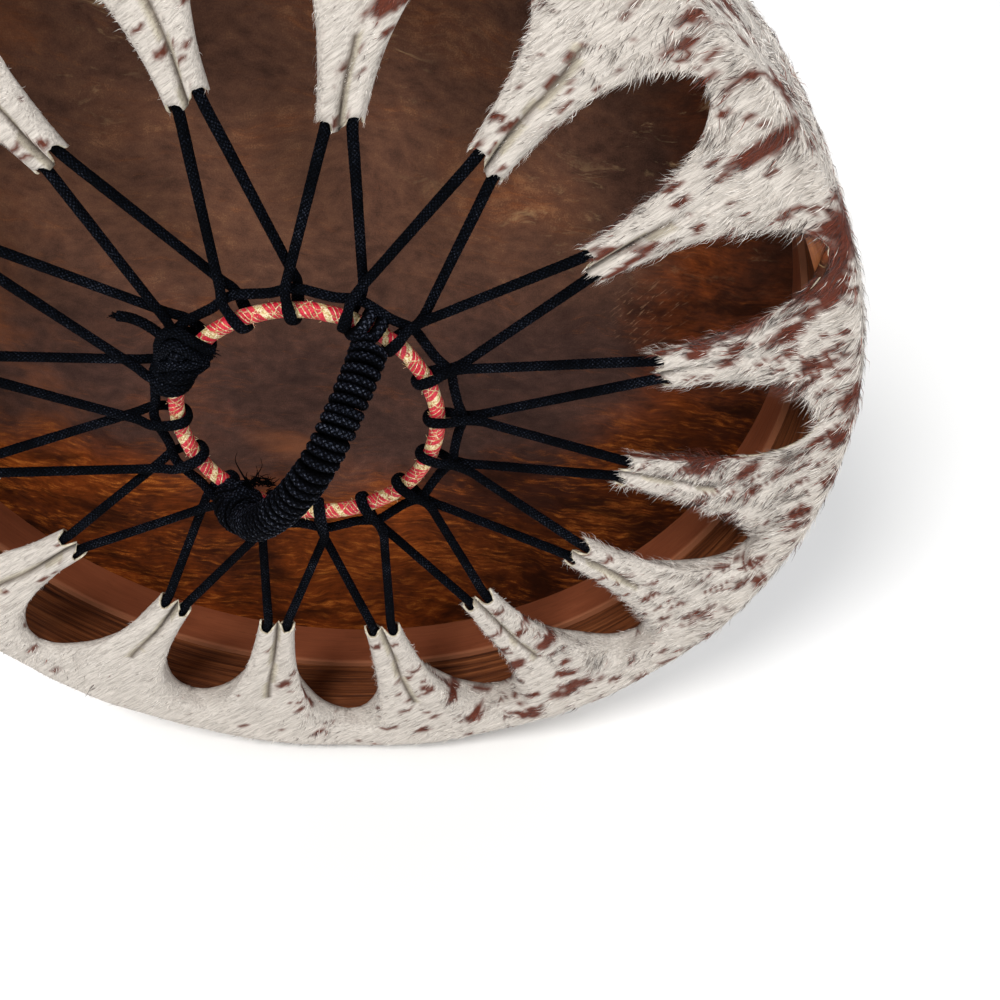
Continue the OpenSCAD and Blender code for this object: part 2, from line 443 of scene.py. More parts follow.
def brocade():
    """Crimson silk with a pale lace-like band, thin gold lines and loose metallic flecks."""
    m = Material("brocade_cloth", rough=0.55, spec=0.4)
    u, v = m.uv()
    at = m.xyz()
    wobble = m.noise((u * 0.35, v * 3.0, 2.0), detail=2.0) - 0.5
    lap = (u * (1 / 13.0) + v + wobble * 0.10).frac()
    thread = m.noise((u * 1.1, v * 30.0, 0.0), detail=2.0)
    weave = ((u * 6.0).sin() * (v * 75.398).sin())
    speck = m.noise(at, scale=900.0, rough=0.8)
    lace = m.noise(at, scale=420.0, detail=2.0, rough=0.6)
    band = lap.step(0.60, 0.635) * (1.0 - lap.step(0.86, 0.90))
    band = band * (lace * 0.6 + speck * 0.5).step(0.40, 0.52)

    def line(value, centre, half):
        return 1.0 - ((value - centre).abs()).step(half * 0.5, half * 1.6)

    back_slant = (u * (1 / 9.0) - v * 2.0 + wobble * 0.3).frac()
    steep = (u * (1 / 26.0) + v * 3.0 + wobble * 0.5).frac()
    lines = line(lap, 0.10, 0.022) + line(lap, 0.30, 0.016) + line(lap, 0.46, 0.018)
    lines = lines + line(back_slant, 0.5, 0.030) * 0.9 + line(steep, 0.3, 0.022) * 0.7
    lines = lines * speck.step(0.30, 0.46)
    loose = speck.step(0.66, 0.72) * 0.8
    gold = (band + lines + loose).clamp()
    red = m.ramp(thread * 0.5 + lace * 0.5, {
        0.30: (118, 8, 26), 0.5: (196, 28, 50), 0.72: (226, 70, 84)})
    pale = m.ramp(speck * 0.6 + thread * 0.4, {
        0.34: (120, 96, 48), 0.46: (190, 160, 96), 0.55: (232, 212, 172), 0.72: (248, 241, 224)})
    m.set(Base_Color=m.mix(gold, red, pale),
          Roughness=thread * 0.3 + 0.33,
          Metallic=(lines + loose).clamp() * 0.45)
    m.bump(weave * 0.3 + gold * 0.55 + speck * 0.35, distance=0.00025)
    return m.data


def ring_steel():
    m = Material("ring_steel", rough=0.4, spec=0.5, Metallic=1.0)
    grain = m.noise(m.xyz(), scale=300.0)
    m.set(Base_Color=m.ramp(grain, {0.3: (120, 122, 126), 0.7: (168, 170, 174)}),
          Roughness=grain * 0.3 + 0.25)
    return m.data


def pale_floor():
    m = Material("pale_floor", rough=0.85, spec=0.15)
    cloud = m.noise(m.xyz(), scale=3.0, detail=2.0)
    m.set(Base_Color=m.ramp(cloud, {0.3: (243, 242, 240), 0.7: (247, 246, 245)}))
    return m.data


# light is the colour of the painted highlight on the raised strands
CORD = cord_material("braided_cord", period=2.0, strands=8.0, dark=(7, 9, 13), light=(54, 60, 76))
GRIP = cord_material("grip_cord", period=2.2, strands=5.0, dark=(8, 9, 13), light=(60, 66, 82),
                     wound=True)
HOOP, LINING, FLESH, SKIN = hoop_wood(), lining_wood(), flesh_side(), hide_skin()
EDGE, HAIR, CLOTH = cut_edge(), hair_material(), brocade()


# ---------------------------------------------------------------- mesh building
def add_mesh(name, verts, faces, materials, uv=None, uv_name="cord", tint=None, outer=None):
    """Add an object from local vertices in mm and faces that all have one size."""
    world = np.stack([verts[:, 0], -verts[:, 2], verts[:, 1]], -1) / 1000.0
    mesh = bpy.data.meshes.new(name)
    mesh.from_pydata(world, [], np.ascontiguousarray(faces))
    for material in materials:
        mesh.materials.append(material)
    if uv is not None:
        layer = mesh.uv_layers.new(name=uv_name)
        layer.data.foreach_set("uv", np.ascontiguousarray(uv, np.float32).ravel())
    if tint is not None:
        rgba = np.ones((len(verts), 4), np.float32)
        rgba[:, :3] = tint
        layer = mesh.color_attributes.new("tint", "FLOAT_COLOR", "POINT")
        layer.data.foreach_set("color", rgba.ravel())
    if outer is not None:
        layer = mesh.attributes.new("outer", "FLOAT", "POINT")
        layer.data.foreach_set("value", np.ascontiguousarray(outer, np.float32))
    mesh.polygons.foreach_set("use_smooth", np.ones(len(mesh.polygons), bool))
    mesh.update()
    ob = bpy.data.objects.new(name, mesh)
    bpy.context.scene.collection.objects.link(ob)
    return ob


def register(ob, replaced=None, rides="drum"):
    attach(ob, rides)
    if replaced:
        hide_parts(replaced)


def add_part(name, parts, material, replaced=None, rides="drum", outer=None):
    """Join (vertices, faces, uv) parts; outer works out the "outer" attribute from vertices, which
    drives the painted shade of wound cord.
    """
    starts = np.cumsum([0] + [len(part[0]) for part in parts])
    verts = np.concatenate([part[0] for part in parts])
    faces = np.concatenate([part[1] + start for part, start in zip(parts, starts)])
    uv = np.concatenate([part[2] for part in parts])
    crown = outer(verts) if outer else None
    register(add_mesh(name, verts, faces, [material], uv=uv, outer=crown), replaced, rides)


def turn_shade_from(axis, start, end):
    """Painted shade factor "outer" of wound cord, from the distance to an axis: 0 at start, 1 at end
    (mm).
    """
    axis = np.asarray(axis, float)

    def outer(verts):
        nearest = np.full(len(verts), 1e9)
        for i in range(0, len(axis), 64):
            gap = np.linalg.norm(verts[:, None] - axis[None, i:i + 64], axis=2)
            nearest = np.minimum(nearest, gap.min(1))
        return np.clip((nearest - start) / (end - start), 0, 1)
    return outer


def cell_corners(grid):
    """The four corners of each cell of a grid."""
    return np.stack([grid[:-1, :-1], grid[:-1, 1:], grid[1:, 1:], grid[1:, :-1]], 2)


def wrapped_index(rows, cols, close_rows):
    """Vertex numbers of a grid that closes across its columns, and along its rows if asked."""
    index = np.arange(rows * cols).reshape(rows, cols)
    return np.pad(index, ((0, int(close_rows)), (0, 1)), mode="wrap")


def grid_uv(u, v):
    return cell_corners(np.stack(np.meshgrid(u, v, indexing="ij"), -1))


def run_of(path):
    """Length run along a path up to each point."""
    return np.concatenate([[0], np.cumsum(np.linalg.norm(np.diff(path, axis=0), axis=1))])


def interp_points(at, run, points):
    return np.stack([np.interp(at, run, points[:, c]) for c in range(3)], 1)


def resample(path, spacing, closed=False):
    """Catmull-Rom curve through the points, evenly spaced."""
    path = np.asarray(path, float)
    n = len(path)
    pick = (lambda i: i % n) if closed else (lambda i: min(max(i, 0), n - 1))
    out = []
    for i in range(n if closed else n - 1):
        p0, p1, p2, p3 = (path[pick(i + d)] for d in (-1, 0, 1, 2))
        steps = max(2, int(np.linalg.norm(p2 - p1) / spacing * 2) + 1)
        t = np.linspace(0, 1, steps, endpoint=False)[:, None]
        out.append(0.5 * (2 * p1 + (p2 - p0) * t + (2 * p0 - 5 * p1 + 4 * p2 - p3) * t**2
                          + (3 * p1 - p0 - 3 * p2 + p3) * t**3))
    out.append(out[0][:1] if closed else path[-1:])
    curve = np.concatenate(out)
    run = run_of(curve)
    count = max(3, int(round(run[-1] / spacing)))
    even = interp_points(np.linspace(0, run[-1], count + 1), run, curve)
    return even[:-1] if closed else even


def frames(path, closed=False):
    """Tangent and two normals at each point, carried along with the least twist."""
    if closed:
        T = unit(np.roll(path, -1, 0) - np.roll(path, 1, 0))
    else:
        T = unit(np.gradient(path, axis=0))
    N = np.zeros_like(path)
    start = BACK if abs(T[0][2]) < 0.9 else np.array([1.0, 0, 0])
    N[0] = unit(start - T[0] * (start @ T[0]))
    for i in range(1, len(path)):
        v = N[i - 1] - T[i] * (N[i - 1] @ T[i])
        N[i] = v / max(np.linalg.norm(v), 1e-9)
    if closed:       # spread the leftover twist
        v = unit(N[-1] - T[0] * (N[-1] @ T[0]))
        angle = math.atan2(np.cross(v, N[0]) @ T[0], v @ N[0])
        twist = np.linspace(0, angle, len(path))[:, None]
        N = N * np.cos(twist) + np.cross(T, N) * np.sin(twist)
    return T, N, np.cross(T, N)


def sweep(path, radius, sides, closed=False, braid=None, rough=0.0, flat=None):
    """Tube along a path. braid is (period, strands, height) of raised plaiting.
    flat is (direction, scale along it, scale across it)."""
    n = len(path)
    T, N, B = frames(path, closed)
    radius = np.broadcast_to(np.asarray(radius, float), (n,))
    angle = np.linspace(0, 2 * math.pi, sides, endpoint=False)
    run = run_of(path)
    R = np.repeat(radius[:, None], sides, 1)
    if braid:
        period, strands, height = braid
        p = strands * angle[None] / (2 * math.pi) + run[:, None] / period
        q = strands * angle[None] / (2 * math.pi) - run[:, None] / period
        a, b = np.sin(math.pi * (p % 1)), np.sin(math.pi * (q % 1))
        parity = (np.floor(p) + np.floor(q)) % 2
        plait = parity * a * (0.55 + 0.45 * b) + (1 - parity) * b * (0.55 + 0.45 * a)
        R = R + height * plait - height * 0.6
    if rough:
        R = R + rough * SURFACE_RNG.normal(0, 1, R.shape)
    offset = R[..., None] * (np.cos(angle)[None, :, None] * N[:, None]
                             + np.sin(angle)[None, :, None] * B[:, None])
    if flat is not None:
        direction, *scales = flat
        direction = unit(direction - T * (direction * T).sum(1, keepdims=True))
        for axis, scale in zip((direction, np.cross(T, direction)), scales):
            along = (offset * axis[:, None]).sum(-1, keepdims=True)
            offset = offset + (scale - 1)[:, None, None] * along * axis[:, None]
    verts = (path[:, None] + offset).reshape(-1, 3)
    faces = cell_corners(wrapped_index(n, sides, closed)).reshape(-1, 4)
    u = np.append(run, run[-1] + np.linalg.norm(path[0] - path[-1])) if closed else run
    uv = grid_uv(u, np.arange(sides + 1) / sides).reshape(-1, 2)
    if not closed:   # rounded caps: quads folded onto a centre point at each end
        verts = np.concatenate([verts, [path[0] - T[0] * radius[0] * 0.35],
                                [path[-1] + T[-1] * radius[-1] * 0.35]])
        side = np.arange(0, sides, 2)
        side1, side2 = (side + 1) % sides, (side + 2) % sides
        end, centre = (n - 1) * sides, np.full_like(side, n * sides)
        faces = np.concatenate([
            faces, np.stack([centre, side2, side1, side], -1),
            np.stack([centre + 1, end + side, end + side1, end + side2], -1)])
        cap = np.stack([np.zeros(4), np.array([0, 0.1, 0.2, 0.3])], -1)
        uv = np.concatenate([uv, np.tile(cap, (2 * len(side), 1))])
    return verts, faces, uv


# ---------------------------------------------------------------- hide: head and side
HAIR_LIE = unit([-0.80, -0.60, 0.0])
ACROSS_LIE = np.array([0.60, -0.80, 0.0])
COLS = 32                                        # mesh columns of a tongue
ROWS = 42                                        # mesh rows of a tongue
SKIRT_ROWS = 38
ALL_COLS = TONGUES * COLS
# by tongue: radius of its tip, degrees its tip is turned, and how far the hide runs down
# inside the hoop in the gap before it; the rest are drawn at random
TIP_R = {0: 158.5, 1: 147.5, 15: 147.0, 14: 150.0, 13: 141.5, 12: 145.0, 11: 143.7, 10: 148.7}
TIP_TURN = {0: -1.3, 1: -0.6, 15: -0.8, 14: -0.7, 13: -1.8, 12: -1.3, 11: -0.6, 10: 1.2}
GAP_DROP = {0: -1.0, 1: -6.0, 15: 15.0, 14: 21.0, 13: 21.0, 12: 17.0, 11: 17.0}
for k in range(TONGUES):
    TIP_R.setdefault(k, 149.0 + RNG.uniform(-5, 7))
    TIP_TURN.setdefault(k, RNG.uniform(-1.2, 1.2))
    GAP_DROP.setdefault(k, RNG.uniform(-3, 18))


def arc(centre, r, start, end, n):
    t = np.radians(np.linspace(start, end, n))
    return np.stack([centre[0] + r * np.cos(t), centre[1] + r * np.sin(t)], 1)


# section of the hide as radius and z: round the face edge, up the side, over the rim, inside
TOP_Z = RIM_Z + 2.3
WALL_R = HOOP_INNER_R - 2.2
FACE_BEND, RIM_BEND, INNER_BEND = 4, 4.4, 3.6
section = np.concatenate([
    arc((HIDE_R - FACE_BEND, FACE_BEND), FACE_BEND, -90, 0, 8),
    [[HIDE_R, TOP_Z - RIM_BEND]],
    arc((HIDE_R - RIM_BEND, TOP_Z - RIM_BEND), RIM_BEND, 0, 90, 9)[1:],
    [[WALL_R + INNER_BEND, TOP_Z]],
    arc((WALL_R + INNER_BEND, TOP_Z - INNER_BEND), INNER_BEND, 90, 180, 8)[1:],
    [[WALL_R, TOP_Z - 50]]])
section_run = run_of(section)
RIM_START = section_run[8]                       # top of the side wall
CORNER = float(section_run[17])                  # where the section turns into the hoop

columns = np.arange(ALL_COLS)
col_tongue = columns // COLS
col_a = -1 + 2 * (columns % COLS) / COLS         # -1..1 across a tongue
col_angle = (col_tongue + 0.5) * STEP + col_a * STEP / 2
gaps = np.array([GAP_DROP[k] for k in range(TONGUES)])
gap = np.where(col_a < 0, gaps[col_tongue], gaps[(col_tongue + 1) % TONGUES])
col_drop = -1.5 + (gap + 1.5) * np.abs(col_a) ** 4.0
ragged = 1.6 * np.sin(col_angle * 37 + 1.1) + 0.7 * np.sin(col_angle * 61 + 0.4)
col_drop = col_drop + ragged * np.abs(col_a) ** 0.7


def skirt_row(t):
    """Row of the skirt: t runs 0..1 from the face edge to the feet of the tongues."""
    s = t * (CORNER + col_drop)
    r = np.interp(s, section_run, section[:, 0])
    z = np.interp(s, section_run, section[:, 1])
    # soft waves, and the pull lines of the tongues
    wave = (0.55 * np.sin(col_angle * 23 + 3 * t) * np.sin(math.pi * t)
            + 0.35 * np.sin(col_angle * 41 + 1.3 + 7 * t) * t)
    pull = 0.9 * np.cos(col_a * math.pi)
    pull = pull * smoothstep(0.45, 0.9, t) * (1 - smoothstep(0.9, 1.0, t))
    on_side = smoothstep(2.0, 9.0, s) * (1 - smoothstep(RIM_START - 6.0, RIM_START, s))
    on_rim = (s > RIM_START) & (s < CORNER + 2)
    r = r + (wave * 0.5 + 0.9) * on_side
    z = z + (wave * 0.6 + pull * 0.6 + 0.5) * on_rim * smoothstep(RIM_START, RIM_START + 5, s)
    return polar(r, col_angle, z)


HEAD_R = np.linspace(8, HIDE_R - FACE_BEND, 14)[:-1]
rows = [polar(r, col_angle, 0.0) for r in HEAD_R]
rows += [skirt_row(t) for t in np.linspace(0, 1, SKIRT_ROWS)]
skirt = np.concatenate(rows)
last_row = (len(rows) - 1) * ALL_COLS
centre_index = len(skirt)
quads = [cell_corners(wrapped_index(len(rows), ALL_COLS, False)).reshape(-1, 4)]
col = np.arange(0, ALL_COLS, 2)                  # quads that close the head onto its centre
quads.append(np.stack([np.full_like(col, centre_index), (col + 2) % ALL_COLS,
                       (col + 1) % ALL_COLS, col], -1))

# ---------------------------------------------------------------- hide: tongues
ROLL_R = 4.5                                     # roll on each side of a tongue's seam
SEAM_START = RNG.uniform(0.22, 0.62, TONGUES)    # where each seam opens, 0..1 along its tongue
SEAM_START[[11, 12, 13, 10]] = 0.30, 0.26, 0.38, 0.36
SEAM_START[[0, 1, 15, 14]] = 0.90, 0.52, 0.46, 0.50
tongue_frames = []                               # tip, outward and sideways of each tongue


def tongue_tip(tip, out, side, a, lobe):
    """Cut end of a tongue: two rolls, with an ear at the seam and one on each outer fold."""
    sign, aa = np.sign(a), np.abs(a)
    roll = np.radians(152 - 292 * aa)
    squash = RNG.uniform(0.86, 1.05, 2)
    squash = np.where(a < 0, squash[0], squash[1])
    x = np.where(aa < 0.02, 0, sign * (ROLL_R + 0.25 + ROLL_R * np.cos(roll) * squash))
    z = ROLL_R * np.sin(roll) * (2 - squash)
    z[aa < 0.02] = 1.2
    seam_ear, left_ear, right_ear = (RNG.uniform(*span) for span in
                                     ((1.6, 4.4), (0.8, 3.0), (0.8, 3.0)))
    scoop = smoothstep(0.05, 0.19, aa) * (1 - smoothstep(0.34, 0.52, aa))
    fold_ear = np.where(a < 0, left_ear, right_ear) * np.exp(-((aa - 0.56) / 0.09) ** 2)
    cut = (-seam_ear * np.exp(-(aa / 0.075) ** 2) + 2.3 * scoop - fold_ear
           + 2.5 * smoothstep(0.72, 1.0, aa) + sign * lobe)
    cut = cut + RNG.uniform(-0.35, 0.35, COLS + 1)
    return tip + x[:, None] * side + z[:, None] * BACK + cut[:, None] * out


def tongue_rows(k, foot, row_above):
    """Rows of tongue k from its foot on the skirt to its tip."""
    angle = (k + 0.5) * STEP + math.radians(TIP_TURN[k])
    out, side = outward(angle), tangent(angle)
    centre = out * TIP_R[k] + BACK * (RING_Z - 1.0)
    tongue_frames.append((centre, out, side))
    a = np.linspace(-1, 1, COLS + 1)
    sign, aa = np.sign(a), np.abs(a)
    lobe = RNG.uniform(-2.6, 2.6)
    tip = tongue_tip(centre, out, side, a, lobe)

    # Bezier curves from the foot to the tip; the rolls open out towards the hoop
    foot_angle = (k + 0.5) * STEP + a * STEP / 2
    foot_out, foot_side = outward(foot_angle), tangent(foot_angle)
    edge = aa[:, None] ** 3.2
    leave = unit((1 - edge) * (-foot_out + 0.10 * BACK)
                 + edge * (-sign[:, None] * foot_side - 0.10 * foot_out + 0.12 * BACK))
    handle1 = foot + leave * (30 - 9 * aa)[:, None]
    handle2 = (tip + out * (34 - 10 * aa)[:, None] + side * (sign * aa * 2.2)[:, None]
               + BACK * (-1.2 * aa)[:, None])
    t = np.linspace(0, 1, ROWS + 1)[1:, None, None]
    P = ((1 - t) ** 3 * foot[None] + 3 * (1 - t) ** 2 * t * handle1[None]
         + 3 * (1 - t) * t**2 * handle2[None] + t**3 * tip[None])

    # pull creases along the tongue: place across it, width and height
    q = t[:, 0, 0]
    swell = np.sin(math.pi * np.clip(q, 0, 1))[:, None]
    crease = np.zeros((ROWS, COLS + 1))
    for place, width, height in ((0.0, 0.055, -3.0), (RNG.uniform(0.25, 0.4), 0.06, -1.1),
                                 (-RNG.uniform(0.25, 0.4), 0.06, -1.1),
                                 (RNG.uniform(-0.2, 0.2), 0.05, 0.9)):
        across = (a[None] - place * (1 - 0.4 * q[:, None])) / width
        crease += height * np.exp(-across ** 2) * swell ** 0.8
    P = P + crease[..., None] * BACK
    wander = 1.1 * np.sin(q * 7.0 + lobe * 3.0) * np.sin(math.pi * q)
    P = P + (wander[:, None] * np.exp(-(a[None] / 0.22) ** 2))[..., None] * side
    # the raw edges stand up as a thin ridge on each side of the seam
    ridge = 0.55 * np.exp(-((aa[None] - 0.075) / 0.035) ** 2)
    P = P + (ridge * smoothstep(0.25, 0.7, q)[:, None])[..., None] * BACK
    bumps = (layered_noise(P.reshape(-1, 3) / 13.0, 5, 2) - 0.5).reshape(P.shape[:2])
    P = P + (bumps * 2.6 * (np.sin(math.pi * q) ** 0.6)[:, None])[..., None] * BACK

    # soften the fold where the tongue leaves the hoop
    full = np.concatenate([row_above[None], foot[None], P])
    amount = np.linspace(0.6, 0.0, ROWS - 2)[:, None, None] * 0.8
    for _ in range(10):
        soft = full.copy()
        before, here, after = full[1:-5], full[2:-4], full[3:-3]
        soft[2:-4, 1:-1] = 0.25 * (before[:, 1:-1] + after[:, 1:-1] + here[:, :-2] + here[:, 2:])
        for end in (0, -1):
            soft[2:-4, end] = 0.5 * (before[:, end] + after[:, end])
        full[2:-2] = full[2:-2] * (1 - amount) + soft[2:-2] * amount
    return full[2:]


hide_verts = [skirt, np.zeros((1, 3))]
TONGUE_VERTS = ROWS * (COLS + 1)
FIRST_TONGUE = centre_index + 1                  # its first vertex
for k in range(TONGUES):
    foot_index = last_row + (k * COLS + np.arange(COLS + 1)) % ALL_COLS
    verts = tongue_rows(k, skirt[foot_index], skirt[foot_index - ALL_COLS])
    index = FIRST_TONGUE + k * TONGUE_VERTS + np.arange(TONGUE_VERTS).reshape(ROWS, COLS + 1)
    quads.append(cell_corners(np.concatenate([foot_index[None], index])).reshape(-1, 4))
    hide_verts.append(verts.reshape(-1, 3))
VERTS = np.concatenate(hide_verts)
FACES = np.concatenate(quads)
face_normal = np.cross(VERTS[FACES[:, 2]] - VERTS[FACES[:, 0]],
                       VERTS[FACES[:, 3]] - VERTS[FACES[:, 1]])
FACE_AREA = np.linalg.norm(face_normal, axis=1) / 2
NORMALS = np.zeros_like(VERTS)
for c in range(4):
    np.add.at(NORMALS, FACES[:, c], face_normal)
NORMALS = unit(NORMALS)

# ---------------------------------------------------------------- hide: coat colours
# brown patches of the back: x, y, size
PATCHES = (
    (129, 87, 7), (221, 98, 17), (216, 84, 12), (212, 72, 7), (224, 70, 8), (187, 41, 3.4),
    (170, 39, 3.4), (209, 39, 5.5), (219, 33, 5.5), (242, 16, 8), (214, -8, 7), (220, -3, 7),
    (204, -40, 4), (175, -26, 3.4), (163, -88, 3.2), (239, -34, 4), (241, -8, 4.5),
    (182, -129, 3.6), (-31, -186, 3.4), (-37, -239, 3.2), (-57, -224, 2.2), (-76, -172, 1.6),
    (-1.5, -199, 3.4), (45, -188, 3.0), (50, -213, 3.8), (42, -226, 3.4), (60, -173, 5.4),
    (72, -214, 4.0), (71, -178, 4.6), (96, -167, 4.2), (103, -210, 4.6), (101, -133, 3.2),
    (196, 64, 7.5), (188, 52, 6.0), (206, 50, 7.0), (180, 16, 5.0), (196, 10, 6.0),
    (208, 20, 5.0), (190, -20, 8.5), (200, -28, 7.0), (181, -27, 5.5), (214, -30, 6.0),
    (178, -52, 4.2), (192, -60, 5.0), (186, -84, 4.6), (226, -56, 5.0), (210, -90, 4.4),
    (120, -176, 5.0), (84, -190, 5.5), (62, -196, 5.0), (110, -150, 4.2))


def coat_pattern(P, N):
    """Shares of brown, dark ticking and playing face at points of the hair side."""
    x, y, z = P.T
    lie, across = P @ HAIR_LIE, P @ ACROSS_LIE
    # on the side wall the pattern runs round the hoop
    wall = np.abs(N[:, 2]) < 0.5
    around = np.arctan2(y, x) * 242.0
    first = np.where(wall, around, lie)
    second = np.where(wall, z + (0.25 * around) % 900.0, across)

    def pattern_space(size1, size2, size3, wall_value):
        return np.stack([first / size1, second / size2, np.where(wall, wall_value, z / size3)], 1)

    space = pattern_space(1, 1, 1, 500.0)
    base = pattern_space(15.0, 8.0, 11.0, 50.0)
    fine = pattern_space(5.0, 2.2, 3.0, 80.0)
    speckle = layered_noise(base + 3.1, 11, 3)
    rough = layered_noise(fine + 1.3, 17, 2) - 0.5
    big = layered_noise(np.stack([lie / 60.0, across / 38.0, z / 45.0], 1) + 9.7, 23, 2)
    angle = np.degrees(np.arctan2(y, x))
    r = np.hypot(x, y)
    busy = bell(angle, 8, 58.0)                  # busier towards the right
    calm = bell(angle, -122, 26.0)               # nearly white at the lower left
    middle = speck_distance(space, (13.0, 9.0, 11.0), 0.60 + 0.38 * busy - 0.54 * calm,
                            (4.8, 1.5, 3.8), 101) + rough * 0.9 - 0.22 * busy
    small = speck_distance(space + 40.0, (8.0, 6.0, 7.0), 0.24 + 0.20 * busy - 0.22 * calm,
                           (3.0, 1.0, 2.6), 211) + rough * 0.8 - 0.18 * busy
    large = speck_distance(space + 90.0, (34.0, 26.0, 30.0), 0.03 + 0.44 * busy - 0.03 * calm,
                           (13.0, 4.4, 9.0), 307) + rough * 1.3
    brown = np.maximum.reduce([smoothstep(1.10, 0.72, middle), smoothstep(1.1, 0.7, small),
                               smoothstep(1.12, 0.70, large)])
    # the playing face: a large brown saddle with pale islands
    face = smoothstep(-0.3, -0.9, N[:, 2]) * smoothstep(241, 226, r)
    saddle = smoothstep(0.40, 0.47, big * 0.7 + speckle * 0.3 + 0.16 * (1 - (r / 235) ** 2))
    brown = np.where(face > 0.5, np.maximum(brown * 0.9, saddle), brown)
    at_back = smoothstep(50, 66, z + rough * 30)
    for patch_x, patch_y, size in PATCHES:
        dx, dy = x - patch_x, y - patch_y
        along = dx * HAIR_LIE[0] + dy * HAIR_LIE[1]
        aside = dx * ACROSS_LIE[0] + dy * ACROSS_LIE[1]
        distance = (np.hypot(along / 1.45, aside / 0.72) / (1.02 * size)
                    + (speckle - 0.5) * 1.5 + rough * 1.1)
        brown = np.maximum(brown, smoothstep(1.12, 0.70, distance) * at_back)
    tick = smoothstep(0.47, 0.64, layered_noise(base * 0.75 + 31.0, 41, 3))
    return brown, tick * (0.60 + 0.75 * busy) * (1 - 0.6 * calm), face


def hair_tint(P, N, rng):
    """A colour for each hair: white, grey, red-brown or dark."""
    brown, tick, face = coat_pattern(P, N)
    n = len(P)
    u = rng.random(n)[:, None]

    def between(light, dark):
        return linear(light) * u + linear(dark) * (1 - u)

    white = between((255, 249, 242), (224, 214, 203))
    grey = between((150, 138, 128), (92, 80, 74))
    red = between((142, 56, 20), (86, 29, 10))
    dark = between((70, 31, 18), (34, 15, 9))
    tone = 0.42 + 0.86 * layered_noise(P / np.array([46.0, 30.0, 30.0]) + 8.8, 27, 3)
    red = red * np.where(face > 0.5, tone, 1.0)[:, None]
    is_brown = rng.random(n) < brown * (0.97 + 0.01 * face) + 0.012
    is_dark = is_brown & (rng.random(n) < 0.42 + 0.12 * face)
    is_grey = (~is_brown) & (rng.random(n) < 0.055 + 0.40 * tick)
    color = np.where(is_brown[:, None], red, white)
    color = np.where(is_dark[:, None], dark, color)
    return np.where(is_grey[:, None], grey, color)


def skin_colors():
    brown = coat_pattern(VERTS, NORMALS)[0][:, None]
    tint = linear((204, 196, 187)) * (1 - brown) + linear((92, 36, 14)) * brown
    # blurred round the head, so that the hairs alone draw the edges of the patches
    for row, r in enumerate(HEAD_R):
        sigma = min(90.0, 9.0 / (r * 2 * math.pi / ALL_COLS))
        away = np.minimum(columns, ALL_COLS - columns)
        kernel = np.exp(-0.5 * (away / sigma) ** 2)
        kernel = np.fft.rfft(kernel / kernel.sum())[:, None]
        ring = slice(row * ALL_COLS, (row + 1) * ALL_COLS)
        spectrum = np.fft.rfft(tint[ring], axis=0) * kernel
        tint[ring] = np.fft.irfft(spectrum, n=ALL_COLS, axis=0) * 0.8
    # the seam: a dark line of painted shade in its groove, with a raw, cream edge
    for k in range(TONGUES):
        for row in range(int(ROWS * (SEAM_START[k] + 0.03)), ROWS):
            mid = FIRST_TONGUE + (k * ROWS + row) * (COLS + 1) + COLS // 2
            shade = value_noise(VERTS[mid][None] / 6.0, 71)[0]
            side = value_noise(VERTS[mid][None] / 9.0 + 5.0, 72)[0]
            tint[mid] = (linear((66, 50, 40)) * (1 - 0.5 * shade)
                         + linear((190, 178, 160)) * 0.35 * shade)
            edge = mid - 1 if side > 0.5 else mid + 1
            tint[edge] = linear((206, 196, 176)) * (0.55 + 0.45 * shade)
    return tint


def add_skin():
    """The skin, thinner towards the tongue tips."""
    skin = add_mesh("hide_skin", VERTS, FACES, [SKIN, FLESH, EDGE], tint=skin_colors())
    group = skin.vertex_groups.new(name="thick")
    for k in range(TONGUES):
        for row in range(ROWS):
            start = FIRST_TONGUE + (k * ROWS + row) * (COLS + 1)
            weight = 1.0 - 0.45 * min(1.0, (row + 1) / ROWS * 1.25)
            group.add(list(range(start, start + COLS + 1)), weight, "REPLACE")
    group.add(list(range(FIRST_TONGUE)), 1.0, "REPLACE")
    solid = skin.modifiers.new("thickness", "SOLIDIFY")
    solid.thickness = HIDE_THICK / 1000
    solid.offset = -1
    solid.vertex_group = "thick"
    solid.material_offset = 1
    solid.material_offset_rim = 2
    solid.use_even_offset = False
    register(skin, "hide")


add_skin()

# ---------------------------------------------------------------- hair
# corner numbers of a strand's triangles: with a bend half way, or straight
BENT = np.array([[0, 3, 1], [1, 3, 4], [1, 4, 2], [2, 4, 5], [2, 5, 0], [0, 5, 3],
                 [3, 6, 4], [4, 6, 5], [5, 6, 3], [0, 1, 2]])
STRAIGHT = np.array([[0, 3, 1], [1, 3, 2], [2, 3, 0], [0, 1, 2]])


def bake_uv(verts, normals):
    """Bake layout: the side wall unrolled, the faces laid flat."""
    x, y, z = verts.T
    wall = np.abs(normals[:, 2]) < 0.7
    unrolled = np.stack([np.arctan2(y, x) / (2 * math.pi) + 0.5,
                         0.02 + np.clip(z + 10, 0, 100) / 100 * 0.22], 1)
    laid = np.stack([0.5 + x / 720, 0.62 + y / 720], 1)
    return np.where(wall[:, None], unrolled, laid)


